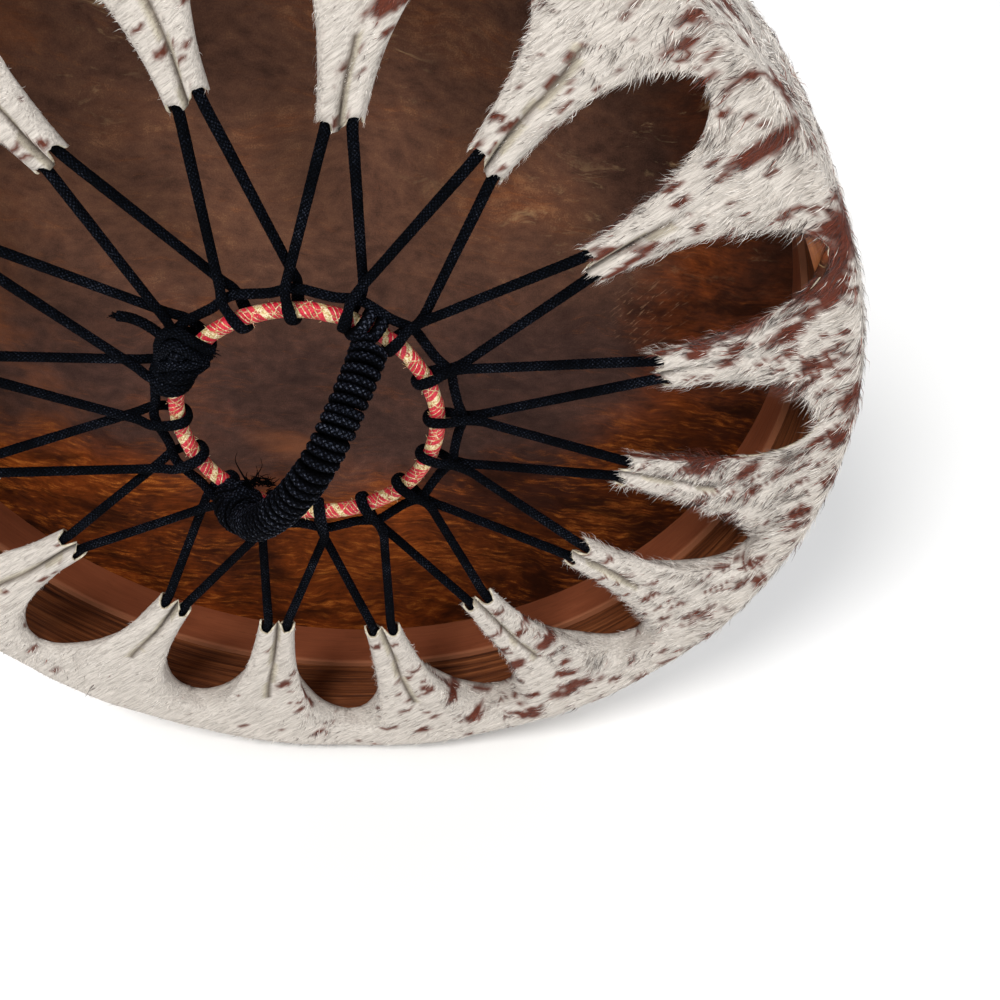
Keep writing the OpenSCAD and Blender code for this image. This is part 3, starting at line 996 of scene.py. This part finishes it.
def add_hair(name, rng, weight, count, length, width, lift, curved=True, growth=None):
    """Strands spread over the hide by face weight. growth scales the length by face."""
    total = np.cumsum(FACE_AREA * weight)
    face = np.searchsorted(total, rng.random(count) * total[-1])
    u, v = rng.random(count)[:, None], rng.random(count)[:, None]
    Q = FACES[face]

    def on_face(A):
        return ((1 - u) * (1 - v) * A[Q[:, 0]] + u * (1 - v) * A[Q[:, 1]]
                + u * v * A[Q[:, 2]] + (1 - u) * v * A[Q[:, 3]])

    P, N = on_face(VERTS), unit(on_face(NORMALS))
    swirl = (layered_noise(P / 26.0 + 5.5, 61, 2) - 0.5) * 2.2
    c, s = np.cos(swirl), np.sin(swirl)
    flow = np.stack([HAIR_LIE[0] * c - HAIR_LIE[1] * s, HAIR_LIE[0] * s + HAIR_LIE[1] * c, 0 * c], 1)
    tuft = layered_noise(P / 5.5 + 2.2, 67, 2)
    turn = (layered_noise(P / 8.0 + 7.7, 69, 2) - 0.5)[:, None] * 1.3
    flow = flow + turn * np.cross(N, flow) + rng.normal(0, 0.13, (count, 3))
    T = unit(flow - N * (flow * N).sum(1, keepdims=True))
    S = unit(np.cross(N, T))
    L = length * rng.uniform(0.65, 1.25, count)[:, None] * (0.72 + 0.56 * tuft)[:, None]
    lift = lift * (0.35 + 1.3 * tuft)
    if growth is not None:
        L = L * growth[face][:, None]
        lift = lift * (0.6 + 0.4 * growth[face])
    W = width * rng.uniform(0.7, 1.3, count)[:, None] / 2
    rise = np.radians(lift * rng.uniform(0.4, 1.7, count))[:, None]
    lower = T * np.cos(rise) + N * np.sin(rise)
    upper = unit(T + N * rng.normal(0.03, 0.07, (count, 1)) + S * rng.normal(0, 0.14, (count, 1)))
    root = P - N * 0.5
    middle = root + lower * L * 0.45
    tip = middle + upper * L * 0.55
    up = unit(np.cross(lower, S))
    up = np.where((up * N).sum(1, keepdims=True) < 0, -up, up)
    shade = layered_noise(P / np.array([7.0, 7.0, 5.0]) + 4.4, 91, 3)
    tint = hair_tint(P, N, rng) * np.clip(0.66 + 0.62 * shade, 0.6, 1.12)[:, None]
    triangle = [(1.0, -0.35), (-1.0, -0.35), (0.0, 0.75)]
    points = [root + S * W * a + up * W * b for a, b in triangle]
    if curved:
        points += [middle + S * W * 0.8 * a + up * W * 0.7 * b for a, b in triangle]
    points.append(tip)
    n = len(points)
    triangles = BENT if curved else STRAIGHT
    faces = (np.arange(count)[:, None, None] * n + triangles[None]).reshape(-1, 3)
    verts = np.stack(points, 1).reshape(-1, 3)
    uv = bake_uv(verts, np.repeat(N, n, 0))[faces.reshape(-1)]
    ob = add_mesh(name, verts, faces, [HAIR], uv=uv, uv_name="OFBake", tint=np.repeat(tint, n, 0))
    register(ob, "hide")


# by face of the hide: zone, place along (0..1) and across (0..1) its tongue
head_quads = (len(HEAD_R) - 1) * ALL_COLS
zone = np.repeat([0, 1, 0, 2], [head_quads, SKIRT_ROWS * ALL_COLS, ALL_COLS // 2,
                                TONGUES * ROWS * COLS])
on_head, on_side, on_tongue = zone == 0, zone == 1, zone == 2


def tongue_values(values):
    """Values for the tongue faces, with 0 for all faces before them."""
    return np.concatenate([np.zeros((~on_tongue).sum()), values])


along = tongue_values(np.tile(np.repeat((np.arange(ROWS) + 0.5) / ROWS, COLS), TONGUES))
across = np.abs(-1 + 2 * (np.arange(COLS) + 0.5) / COLS)
across = tongue_values(np.tile(across, ROWS * TONGUES))
seam_open = on_tongue & (along > tongue_values(np.repeat(SEAM_START, ROWS * COLS)))
face_centre = VERTS[FACES].mean(1)
face_angle = np.degrees(np.arctan2(face_centre[:, 1], face_centre[:, 0]))
rightness = bell(face_angle, 2, 62.0)
near_seam = seam_open & (across < 0.05)
beside_seam = seam_open & (across < 0.20)
hairy = on_tongue & ~(across > 1.0 - 0.30 * along)       # not inside the rolls
side_growth = 0.72 + 0.52 * rightness
tongue_growth = ((0.62 + 0.52 * rightness) * (1.0 - 0.50 * (1 - 0.55 * rightness) * along ** 1.5)
                 * np.where(beside_seam, 0.55 + 0.3 * rightness, 1.0))
tufts = smoothstep(0.36, 0.56, layered_noise(face_centre / 7.0 + 3.0, 83, 2))
cover = np.where(near_seam, np.clip(0.20 + 0.80 * tufts + 0.5 * rightness, 0, 1), 1.0)
cover = cover * (1.0 - 0.75 * (1 - 0.8 * rightness) * smoothstep(0.86, 0.96, along))
SIDE = (np.where(on_side, 1.0, 0.0), side_growth)
TONGUE = (np.where(hairy, 1.0, 0.0) * cover, tongue_growth)
TONGUE_EDGE = (np.where(hairy & (across > 0.45) & (along > 0.1), 1.0, 0.0)
               * (0.42 + rightness), tongue_growth)
FACE = (np.where(on_head, 1.0, 0.0), None)
# name, (weight, growth), count, length, width, lift in degrees, curved
COAT = (
    ("hair_side_long_a", SIDE, 13000, 7.6, 0.42, 15, True),
    ("hair_side_long_b", SIDE, 13000, 7.0, 0.38, 12, True),
    ("hair_side_under", SIDE, 49000, 5.6, 0.50, 9, False),
    ("hair_tongues_long", TONGUE, 19000, 6.6, 0.34, 13, True),
    ("hair_tongues_under_a", TONGUE, 36000, 4.8, 0.40, 9, False),
    ("hair_tongues_under_b", TONGUE, 36000, 4.2, 0.36, 12, False),
    ("hair_tongues_loose", TONGUE_EDGE, 5200, 8.4, 0.22, 30, True),
    ("hair_face_a", FACE, 49000, 10.0, 0.80, 8, False),
    ("hair_face_b", FACE, 49000, 8.6, 0.74, 6, False))
for n, (name, (weight, growth), *shape) in enumerate(COAT):
    add_hair(name, np.random.default_rng(500 + n), weight, *shape, growth=growth)

# ---------------------------------------------------------------- lacing and binding
PLAIT = (2.0, 8, 0.16)                           # period, strands and height
LACE_RING_R = 58                                 # where the lacing wraps the ring
# the lacing over the ring, from outside it inwards: radius, sideways, height; it returns mirrored
OVER_RING = ((69.8, 2.0, 4.3), (63.3, 1.5, 5.5), (58, 1.0, 5.2), (54.4, 0.6, 3.7))


def by_tip(k, out, side, height=0.0):
    tip, tip_out, tip_side = tongue_frames[k]
    return tip + tip_out * out + tip_side * side + BACK * height


def by_crossing(k, r, side, height):
    """Point near the ring crossing between tongues k - 1 and k."""
    return polar(r, k * STEP, RING_Z + height) + side * tangent(k * STEP)


def add_lacing():
    """One closed cord: out of each tongue, over the ring, back under it to the next tongue."""
    lace = []
    for k in range(TONGUES):
        after = (k + 1) % TONGUES
        lace += [by_tip(k, 18, -1.8, -4.1), by_tip(k, 18, 1.8, -4.1), by_tip(k, 13, 4.4, -2.05),
                 by_tip(k, 6, 4.7), by_tip(k, -3, 5.0)]
        leave, enter = lace[-1], by_tip(after, -3, -5.0)
        top = by_crossing(after, 77 + RNG.uniform(-1.5, 1.5), 0, 2.6)
        under = by_crossing(after, 77, 0, -2.6)
        lace += [leave + (top - leave) * w for w in (0.25, 0.55, 0.85)] + [top]
        lace += [by_crossing(after, *point) for point in OVER_RING]
        lace.append(by_crossing(after, 52.8, 0, 0))
        lace += [by_crossing(after, r, -side, -height) for r, side, height in OVER_RING[::-1]]
        lace += [under] + [under + (enter - under) * w for w in (0.15, 0.45, 0.75)]
        lace += [enter, by_tip(after, 6, -4.7), by_tip(after, 13, -4.4, -2.05)]
    lace = resample(lace, 1.0, closed=True)
    r = np.hypot(lace[:, 0], lace[:, 1])
    past, height = r - LACE_RING_R, lace[:, 2] - RING_Z
    near = 1 - smoothstep(5.8, 9.5, np.hypot(past, height))
    away = np.stack([past * lace[:, 0] / r, past * lace[:, 1] / r, height], 1)
    radius = 2.16 + (CORD_R - 2.16) * smoothstep(95, 140, r) + 0.22 * near
    # flattened against the ring
    tube = sweep(lace, radius, 16, closed=True, rough=0.03, braid=PLAIT,
                 flat=(away, 1 - 0.34 * near, 1 + 0.16 * near))
    add_part("lacing_braid", [tube], CORD, "lacing_cord")


def add_binding():
    """Cord that runs round just outside the ring, through the lacing."""
    t = np.linspace(0, 2 * math.pi, 480, endpoint=False)
    r = 67.3 + 1.7 * np.abs(np.cos(8 * t)) ** 3.0 + 0.5 * np.sin(3 * t + 1.0)
    path = polar(r, t, RING_Z + 0.7 * np.sin(16 * t) + 0.3 * np.sin(5 * t))
    tube = sweep(resample(path, 1.0, closed=True), 2.2, 16, closed=True, rough=0.03, braid=PLAIT)
    add_part("binding_braid", [tube], CORD, "binding_cord")


# ---------------------------------------------------------------- ring cloth
CLOTH_START = math.radians(-123.75)
LAP = 15.0                                       # length of ring per lap of cloth


def cloth_tube():
    """Cloth wound round the ring, each lap stepping over the last."""
    n, sides = 1100, 26
    t = CLOTH_START + np.linspace(0, 2 * math.pi, n, endpoint=False)[:, None]
    angle = np.linspace(0, 2 * math.pi, sides, endpoint=False)[None]
    run = RING_R * (t - CLOTH_START)
    lap = (run / LAP + angle / (2 * math.pi) + 0.04 * np.sin(7 * t)) % 1.0
    r = 3.42 + 0.30 * lap ** 1.5 + 0.05 * np.sin(23 * t + 3 * angle)
    r = r - 0.10 * np.exp(-((lap - 0.5) / 0.05) ** 2)
    verts = polar(RING_R + r * np.cos(angle), t, RING_Z + r * np.sin(angle)).reshape(-1, 3)
    u = np.arange(n + 1) * (RING_R * 2 * math.pi / n)
    turned = [0, 3, 2, 1]                        # corner order that faces the quads outwards
    faces = cell_corners(wrapped_index(n, sides, True))[:, :, turned].reshape(-1, 4)
    uv = grid_uv(u, np.arange(sides + 1) / sides)[:, :, turned].reshape(-1, 2)
    return verts, faces, uv


def loose_thread(lap):
    """Short thread that sticks out at the edge of a lap."""
    angle = RNG.uniform(0, 2 * math.pi)
    run = ((lap - angle / (2 * math.pi)) % 24.3) * LAP
    at = CLOTH_START + run / RING_R
    out, side = outward(at), tangent(at)
    normal = out * math.cos(angle) + BACK * math.sin(angle)
    root = out * RING_R + BACK * RING_Z + normal * 3.6
    d = unit(side * RNG.uniform(-1, 1) + normal * RNG.uniform(0.1, 0.7)
             + np.cross(side, normal) * RNG.uniform(-1, 1))
    length = RNG.uniform(0.9, 2.6)
    middle = root + d * length * 0.5 + normal * 0.1
    end = root + d * length + normal * RNG.uniform(-0.2, 0.4)
    verts, faces, uv = sweep(np.array([root - normal * 0.2, middle, end]), [0.14, 0.12, 0.07], 4)
    # a small spot inside the pale band of the brocade
    return verts, faces, np.stack([10.8 + uv[:, 0] * 0.1, uv[:, 1] * 0.02], 1)


add_lacing()
add_binding()
cloth = [cloth_tube()] + [loose_thread(n // 6) for n in range(150)]
add_part("ring_cloth_strip", cloth, CLOTH, "ring_wrap")

# ---------------------------------------------------------------- grip
GRIP_ANGLE = 2.5 * STEP                          # it runs from lower left to upper right
GRIP_OUT, GRIP_SIDE = outward(GRIP_ANGLE), tangent(GRIP_ANGLE)


def on_grip(along, height, side=0.0):
    return GRIP_OUT * along + GRIP_SIDE * side + BACK * (RING_Z + height)


def by_ring(x, y, height):
    return np.array([x, y, RING_Z + height])


def coil(path, radius, pitch, first_turn, per_turn, wobble, seed, skew):
    """Points of a cord wound round a path; radius and pitch are functions of 0..1 along it."""
    axis = resample(path, 0.4)
    _, N, B = frames(axis)
    run = run_of(axis)
    share = run / run[-1]
    pitches = np.array([pitch(w) for w in share])
    radii = np.array([radius(w) for w in share])
    turns = np.cumsum(np.diff(run) / (0.5 * (pitches[1:] + pitches[:-1])))
    phase = 2 * math.pi * (first_turn + np.concatenate([[0], turns]))
    n = int((phase[-1] - phase[0]) / (2 * math.pi) * per_turn)
    p = np.linspace(phase[0], phase[-1], n)
    a = np.random.default_rng(seed).uniform(0, 6.28, 4)
    at = np.interp(p, phase, run) + wobble * (np.sin(p * 0.31 + a[0]) + 0.6 * np.sin(p * 1.0 + a[1]))
    at = np.clip(np.clip(at, 0, run[-1]) + skew * np.sin(p), 0, run[-1])
    uneven = 1 + 0.03 * wobble * (np.sin(p * 0.17 + a[2]) + np.sin(p * 0.53 + a[3]))
    R = (np.interp(at, run, radii) * uneven)[:, None]
    N, B = (unit(interp_points(at, run, normal)) for normal in (N, B))
    return interp_points(at, run, axis) + R * (np.cos(p)[:, None] * N + np.sin(p)[:, None] * B)


def taper(path, shares, radii):
    return np.interp(np.linspace(0, 1, len(path)), shares, radii)


# centre line of the arch, from upper right to lower left: along the grip, height over the ring
ARCH = [on_grip(*point) for point in (
    (57.6, 11.5), (55.4, 18), (51, 25.5), (45.5, 32.5), (38.5, 40.8), (31, 47.5), (22, 52.3),
    (12, 54.2), (-2, 52.8), (-19, 47.0), (-36, 37.2), (-46.5, 28.5), (-52.5, 20.5))]


def add_winding():
    wound = coil(ARCH, lambda w: 6.1, lambda w: 4.5, first_turn=0.2, per_turn=40,
                 wobble=0.35, seed=3, skew=0.35)
    tube = sweep(resample(wound, 0.75), 2.22, 20, braid=(2.2, 5, 0.36), rough=0.05)
    # outer: painted shade between the turns of the winding, painted highlight on their tops
    add_part("grip_winding_braid", [tube], GRIP, "grip_winding", rides="grip",
             outer=turn_shade_from(resample(ARCH, 0.8), 6.3, 8.5))


def add_core():
    """Five twisted strands inside the winding."""
    axis = resample(ARCH, 1.2)
    _, N, B = frames(axis)
    strands = []
    for n in range(5):
        t = (2 * math.pi * n / 5 + np.linspace(0, 5.0, len(axis)))[:, None]
        strands.append(sweep(axis + 2.1 * (np.cos(t) * N + np.sin(t) * B), 1.4, 10))
    # outer of 0: the core strands inside the winding are painted in full shade
    add_part("grip_core_strands", strands, GRIP, "grip_core", rides="grip",
             outer=lambda verts: np.zeros(len(verts)))


def add_upper_tie():
    """Turns round the ring that lead up into the winding."""
    centre = on_grip(RING_R, 0)
    t = np.radians(np.linspace(-125, 545, 100))[:, None]
    turns = (centre + GRIP_SIDE * (6.1 - 6.3 * t / (2 * math.pi))
             + (6.15 + 0.2 * np.sin(t * 0.7)) * (np.cos(t) * BACK + np.sin(t) * GRIP_OUT))
    tube = sweep(resample(turns, 0.75), 2.75, 20, braid=(2.2, 5, 0.46), rough=0.05)
    axis = [centre + GRIP_SIDE * s for s in np.linspace(-8, 8, 30)]
    # outer: painted shade between the turns of the tie, painted highlight on their tops
    add_part("grip_tie_upper_turns", [tube], GRIP, "grip_tie_upper",
             outer=turn_shade_from(axis, 6.0, 8.9))


def fan_radius(w):
    return float(np.interp(w, [0, 0.08, 0.25, 0.5, 0.75, 1.0], [4.4, 6.2, 8.2, 10.2, 9.4, 6.4]))


def add_lower_tie():
    """Fat fan of turns that starts round the ring and bends up to meet the grip."""
    path = [by_ring(-37.2, -40.2, -1.0), by_ring(-37.4, -43.4, 2.4), by_ring(-37.0, -46.6, 6.4),
            by_ring(-34.0, -47.8, 10.6), on_grip(-56.6, 14.6, 0.6), on_grip(-53.6, 18.6)]
    fan = coil(path, fan_radius, lambda w: 2.1 + 1.5 * w, first_turn=0.0, per_turn=50,
               wobble=0.12, seed=8, skew=0.7)
    turns = sweep(resample(fan, 0.75), 1.8, 16, braid=(2.0, 5, 0.26), rough=0.04)
    axis = resample(path, 0.8)
    core_r = taper(axis, [0, .08, .25, .5, .75, 1], [2.6, 5.2, 7.4, 9.4, 8.4, 4.5])
    core = sweep(axis, core_r, 24, rough=0.1)
    radii = np.array([fan_radius(w) for w in np.linspace(0, 1, len(axis))])

    # painted shade: outer is 0 within the fan's radius and rises to 1 on the tops of its turns
    def outer(verts):
        nearest = np.array([np.argmin(np.linalg.norm(axis - v, axis=1)) for v in verts])
        away = np.linalg.norm(verts - axis[nearest], axis=1)
        return np.clip((away - radii[nearest] - 0.5) / 1.6, 0, 1)

    add_part("grip_tie_lower_turns", [turns, core], GRIP, "grip_tie_lower", outer=outer)


# run of each whisker in x, y and z, its sideways bend, and its radius at the root
WHISKERS = ((-2.3, 20.7, 1.0, 2.2, 0.62), (7.1, 17.2, 1.5, -1.8, 0.50), (9.5, 8.0, 2.0, 1.0, 0.34),
            (2.6, 11.5, 0.5, -0.8, 0.24), (-5.0, 7.0, 1.0, 0.8, 0.22))


def add_fray(rng):
    """Whiskers and fluff where the grip's cord ends, on the inner side of the fan."""
    root = by_ring(-28.3, -34.0, 8.0)
    hairs = []
    for n, (dx, dy, dz, bend, radius) in enumerate(WHISKERS):
        d = np.array([dx, dy, dz])
        aside = unit(np.array([-dy, dx, 0])) * bend
        start = root + np.array([n * 0.8 - 1.2, 0.2 * n, 0])
        path = resample([start - d * 0.15, start, start + d * 0.4 + aside * 0.7,
                         start + d * 0.75 + aside, start + d], 0.8)
        hairs.append(sweep(path, np.linspace(radius, 0.10, len(path)), 6))
    for _ in range(70):
        t = rng.uniform(0, 1)
        start = root + np.array([-3.5 + 14 * t + rng.normal(0, 0.8),
                                 -1.0 + 2.0 * math.sin(3 * t) + rng.normal(0, 0.8),
                                 rng.uniform(-3, 1)])
        d = unit([rng.uniform(-0.7, 0.9), rng.uniform(0.3, 1.0), rng.uniform(-0.2, 0.6)])
        length = rng.uniform(2.0, 4.4)
        curl = rng.normal(0, 0.35, 3)
        path = np.array([start - d * 2, start + d * length * 0.4 + curl * 0.4,
                         start + d * length * 0.75 + curl, start + d * length + curl * 1.6])
        hairs.append(sweep(path, [0.3, 0.24, 0.18, 0.09], 5))
    # outer of 0.6: the fray gets part of the painted shade of wound cord
    add_part("grip_cord_fray", hairs, GRIP, outer=lambda verts: np.full(len(verts), 0.6))


# ---------------------------------------------------------------- finishing knot
# axis of the turns along the ring: angle in degrees, height
KNOT_AXIS = ((137.5, 0), (143, 0.6), (150, 1.2), (157, 0.8), (163.5, 0))
# paths as x, y and height over the ring
KNOT_LUMP = ((-53.5, 37.5, 5.0), (-50.2, 41.6, 8.6), (-47.0, 42.6, 8.2), (-44.4, 39.6, 5.0))
KNOT_CORDS = (
    # rises over the crossing, bulges at the top and runs down to a stub
    ((-60.5, 33.5, 1), (-58.6, 38.6, 6.5), (-56.2, 47.5, 9.5), (-52.2, 53.6, 11.2),
     (-47.4, 54.4, 12.0), (-43.0, 50.4, 11.2), (-39.6, 45.6, 8.8), (-35.6, 40.8, 6.2)),
    ((-57.5, 36.0, 4), (-54.8, 43.6, 10.2), (-50.6, 48.6, 12.6), (-46.0, 46.8, 12.6),
     (-42.6, 41.4, 10.0), (-40.0, 37.0, 4)),
    ((-61.5, 29.5, 2), (-57.6, 33.6, 8.0), (-52.0, 37.0, 10.6), (-46.4, 36.4, 10.8),
     (-41.2, 36.6, 8.0), (-38.4, 35.6, 2.5)),
    ((-60.0, 25.5, 2), (-55.0, 29.4, 8.2), (-49.4, 30.8, 9.4), (-44.0, 31.4, 7.6),
     (-40.4, 31.0, 1.5)),
    # the tail, outwards
    ((-55.5, 45.0, 3), (-61.9, 48.5, 0), (-67.5, 51.4, -1), (-71.8, 52.9, -1),
     (-75.2, 53.4, -1)))


def add_knot(rng):
    """Turns over the ring and its two crossings, crossed turns on top, a stub and a tail."""
    path = [polar(61.0, math.radians(angle), RING_Z + height) for angle, height in KNOT_AXIS]
    turns = coil(path, lambda w: 6.2 + 1.3 * math.sin(math.pi * w) ** 0.7, lambda w: 4.5,
                 first_turn=0.35, per_turn=46, wobble=0.4, seed=21, skew=1.3)
    axis = resample(path, 0.8)
    lump = resample([by_ring(*point) for point in KNOT_LUMP], 0.8)
    core_r = taper(axis, [0, 0.1, 0.5, 0.9, 1], [3.0, 5.0, 6.4, 5.0, 3.0])
    lump_r = taper(lump, [0, 0.5, 1], [2.4, 4.4, 2.4])
    parts = [sweep(resample(turns, 0.8), 2.4, 16, braid=(2.0, 4, 0.34), rough=0.04),
             sweep(axis, core_r, 20, rough=0.1),
             sweep(lump, lump_r, 18, braid=(2.0, 7, 0.3), rough=0.06)]
    cords = [[by_ring(*point) for point in cord] for cord in KNOT_CORDS]
    for cord in cords:
        radius = 2.3 if cord is cords[-1] else 2.35
        parts.append(sweep(resample(cord, 0.8), radius, 16, braid=(2.0, 5, 0.36), rough=0.04))
    for n in range(46):      # cut fibres, by turns at the tail and the stub
        cord = cords[0] if n % 2 else cords[-1]
        end, run = cord[-1], unit(cord[-1] - cord[-2])
        off = rng.normal(0, 0.9, 3)
        d = unit(run + rng.normal(0, 0.25, 3))
        fibre = np.array([end + off - run * 1.5, end + off + d * 0.7,
                          end + off * 1.1 + d * rng.uniform(1.0, 2.2)])
        parts.append(sweep(fibre, [0.3, 0.24, 0.12], 5))
    add_part("finishing_knot_turns", parts, CORD, "finishing_knot")


add_winding()
add_core()
add_upper_tie()
add_lower_tie()
fibre_rng = np.random.default_rng(77)
add_fray(fibre_rng)
add_knot(fibre_rng)

# ---------------------------------------------------------------- CAD nodes that stay
for node, material in (("hoop", HOOP), ("lining_hoop", LINING), ("hub_ring", ring_steel())):
    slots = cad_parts[node].data.materials
    slots.clear()
    slots.append(material)

# ---------------------------------------------------------------- floor, light, camera (metres)
FLOOR_Z, FLOOR_HALF = -0.2515, 9


def link(name, data):
    ob = bpy.data.objects.new(name, data)
    bpy.context.scene.collection.objects.link(ob)
    return ob


def add_floor():
    mesh = bpy.data.meshes.new("floor")
    corners = [(x * FLOOR_HALF, y * FLOOR_HALF, FLOOR_Z)
               for x, y in ((-1, -1), (1, -1), (1, 1), (-1, 1))]
    mesh.from_pydata(corners, [], [(0, 1, 2, 3)])
    mesh.materials.append(pale_floor())
    link("floor", mesh)


def add_world():
    world = bpy.data.worlds.new("studio")
    bpy.context.scene.world = world
    world.use_nodes = True
    background = next(n for n in world.node_tree.nodes if n.type == "BACKGROUND")
    background.inputs["Color"].default_value = (0.95, 0.97, 1.0, 1)
    background.inputs["Strength"].default_value = 0.56


def add_light(name, location, target, size, power, color=(1, 1, 1)):
    light = bpy.data.lights.new(name, "AREA")
    light.size, light.energy, light.color = size, power, color
    light.shape = "DISK"
    ob = link(name, light)
    ob.location = location
    aim = Vector(target) - Vector(location)
    ob.rotation_euler = aim.to_track_quat("-Z", "Y").to_euler()


def add_camera():
    """Camera behind and above the drum, looking down at its back."""
    data = bpy.data.cameras.new("camera")
    data.sensor_fit = "HORIZONTAL"
    data.sensor_width, data.lens = 36.0, 48.6
    data.clip_end = 50
    right = Vector((0.99993066, 0.01177568, 0.0))
    down = Vector((0.00805399, -0.68390392, -0.72952763))
    forward = Vector((-0.00859068, 0.72947705, -0.68395134))
    place = (0.0914, -0.5380, 0.3851)
    matrix = Matrix.Identity(4)
    for row in range(3):
        matrix[row][:] = right[row], -down[row], -forward[row], place[row]
    camera = bpy.data.objects.new("camera", data)
    camera.matrix_world = matrix
    bpy.context.scene.collection.objects.link(camera)
    bpy.context.scene.camera = camera


add_floor()
add_world()
add_light("key", location=(-0.7, -1.5, 2.1), target=(0, -0.03, 0), size=0.9, power=60,
          color=(1.0, 0.985, 0.965))
add_light("fill", location=(1.9, -1.4, 0.7), target=(0, -0.03, 0), size=1.4, power=17,
          color=(0.96, 0.98, 1.0))
add_light("back", location=(0.5, 2.0, 1.6), target=(0, 0, 0), size=1.6, power=16)
add_camera()
bpy.context.scene.view_settings.view_transform = "Standard"
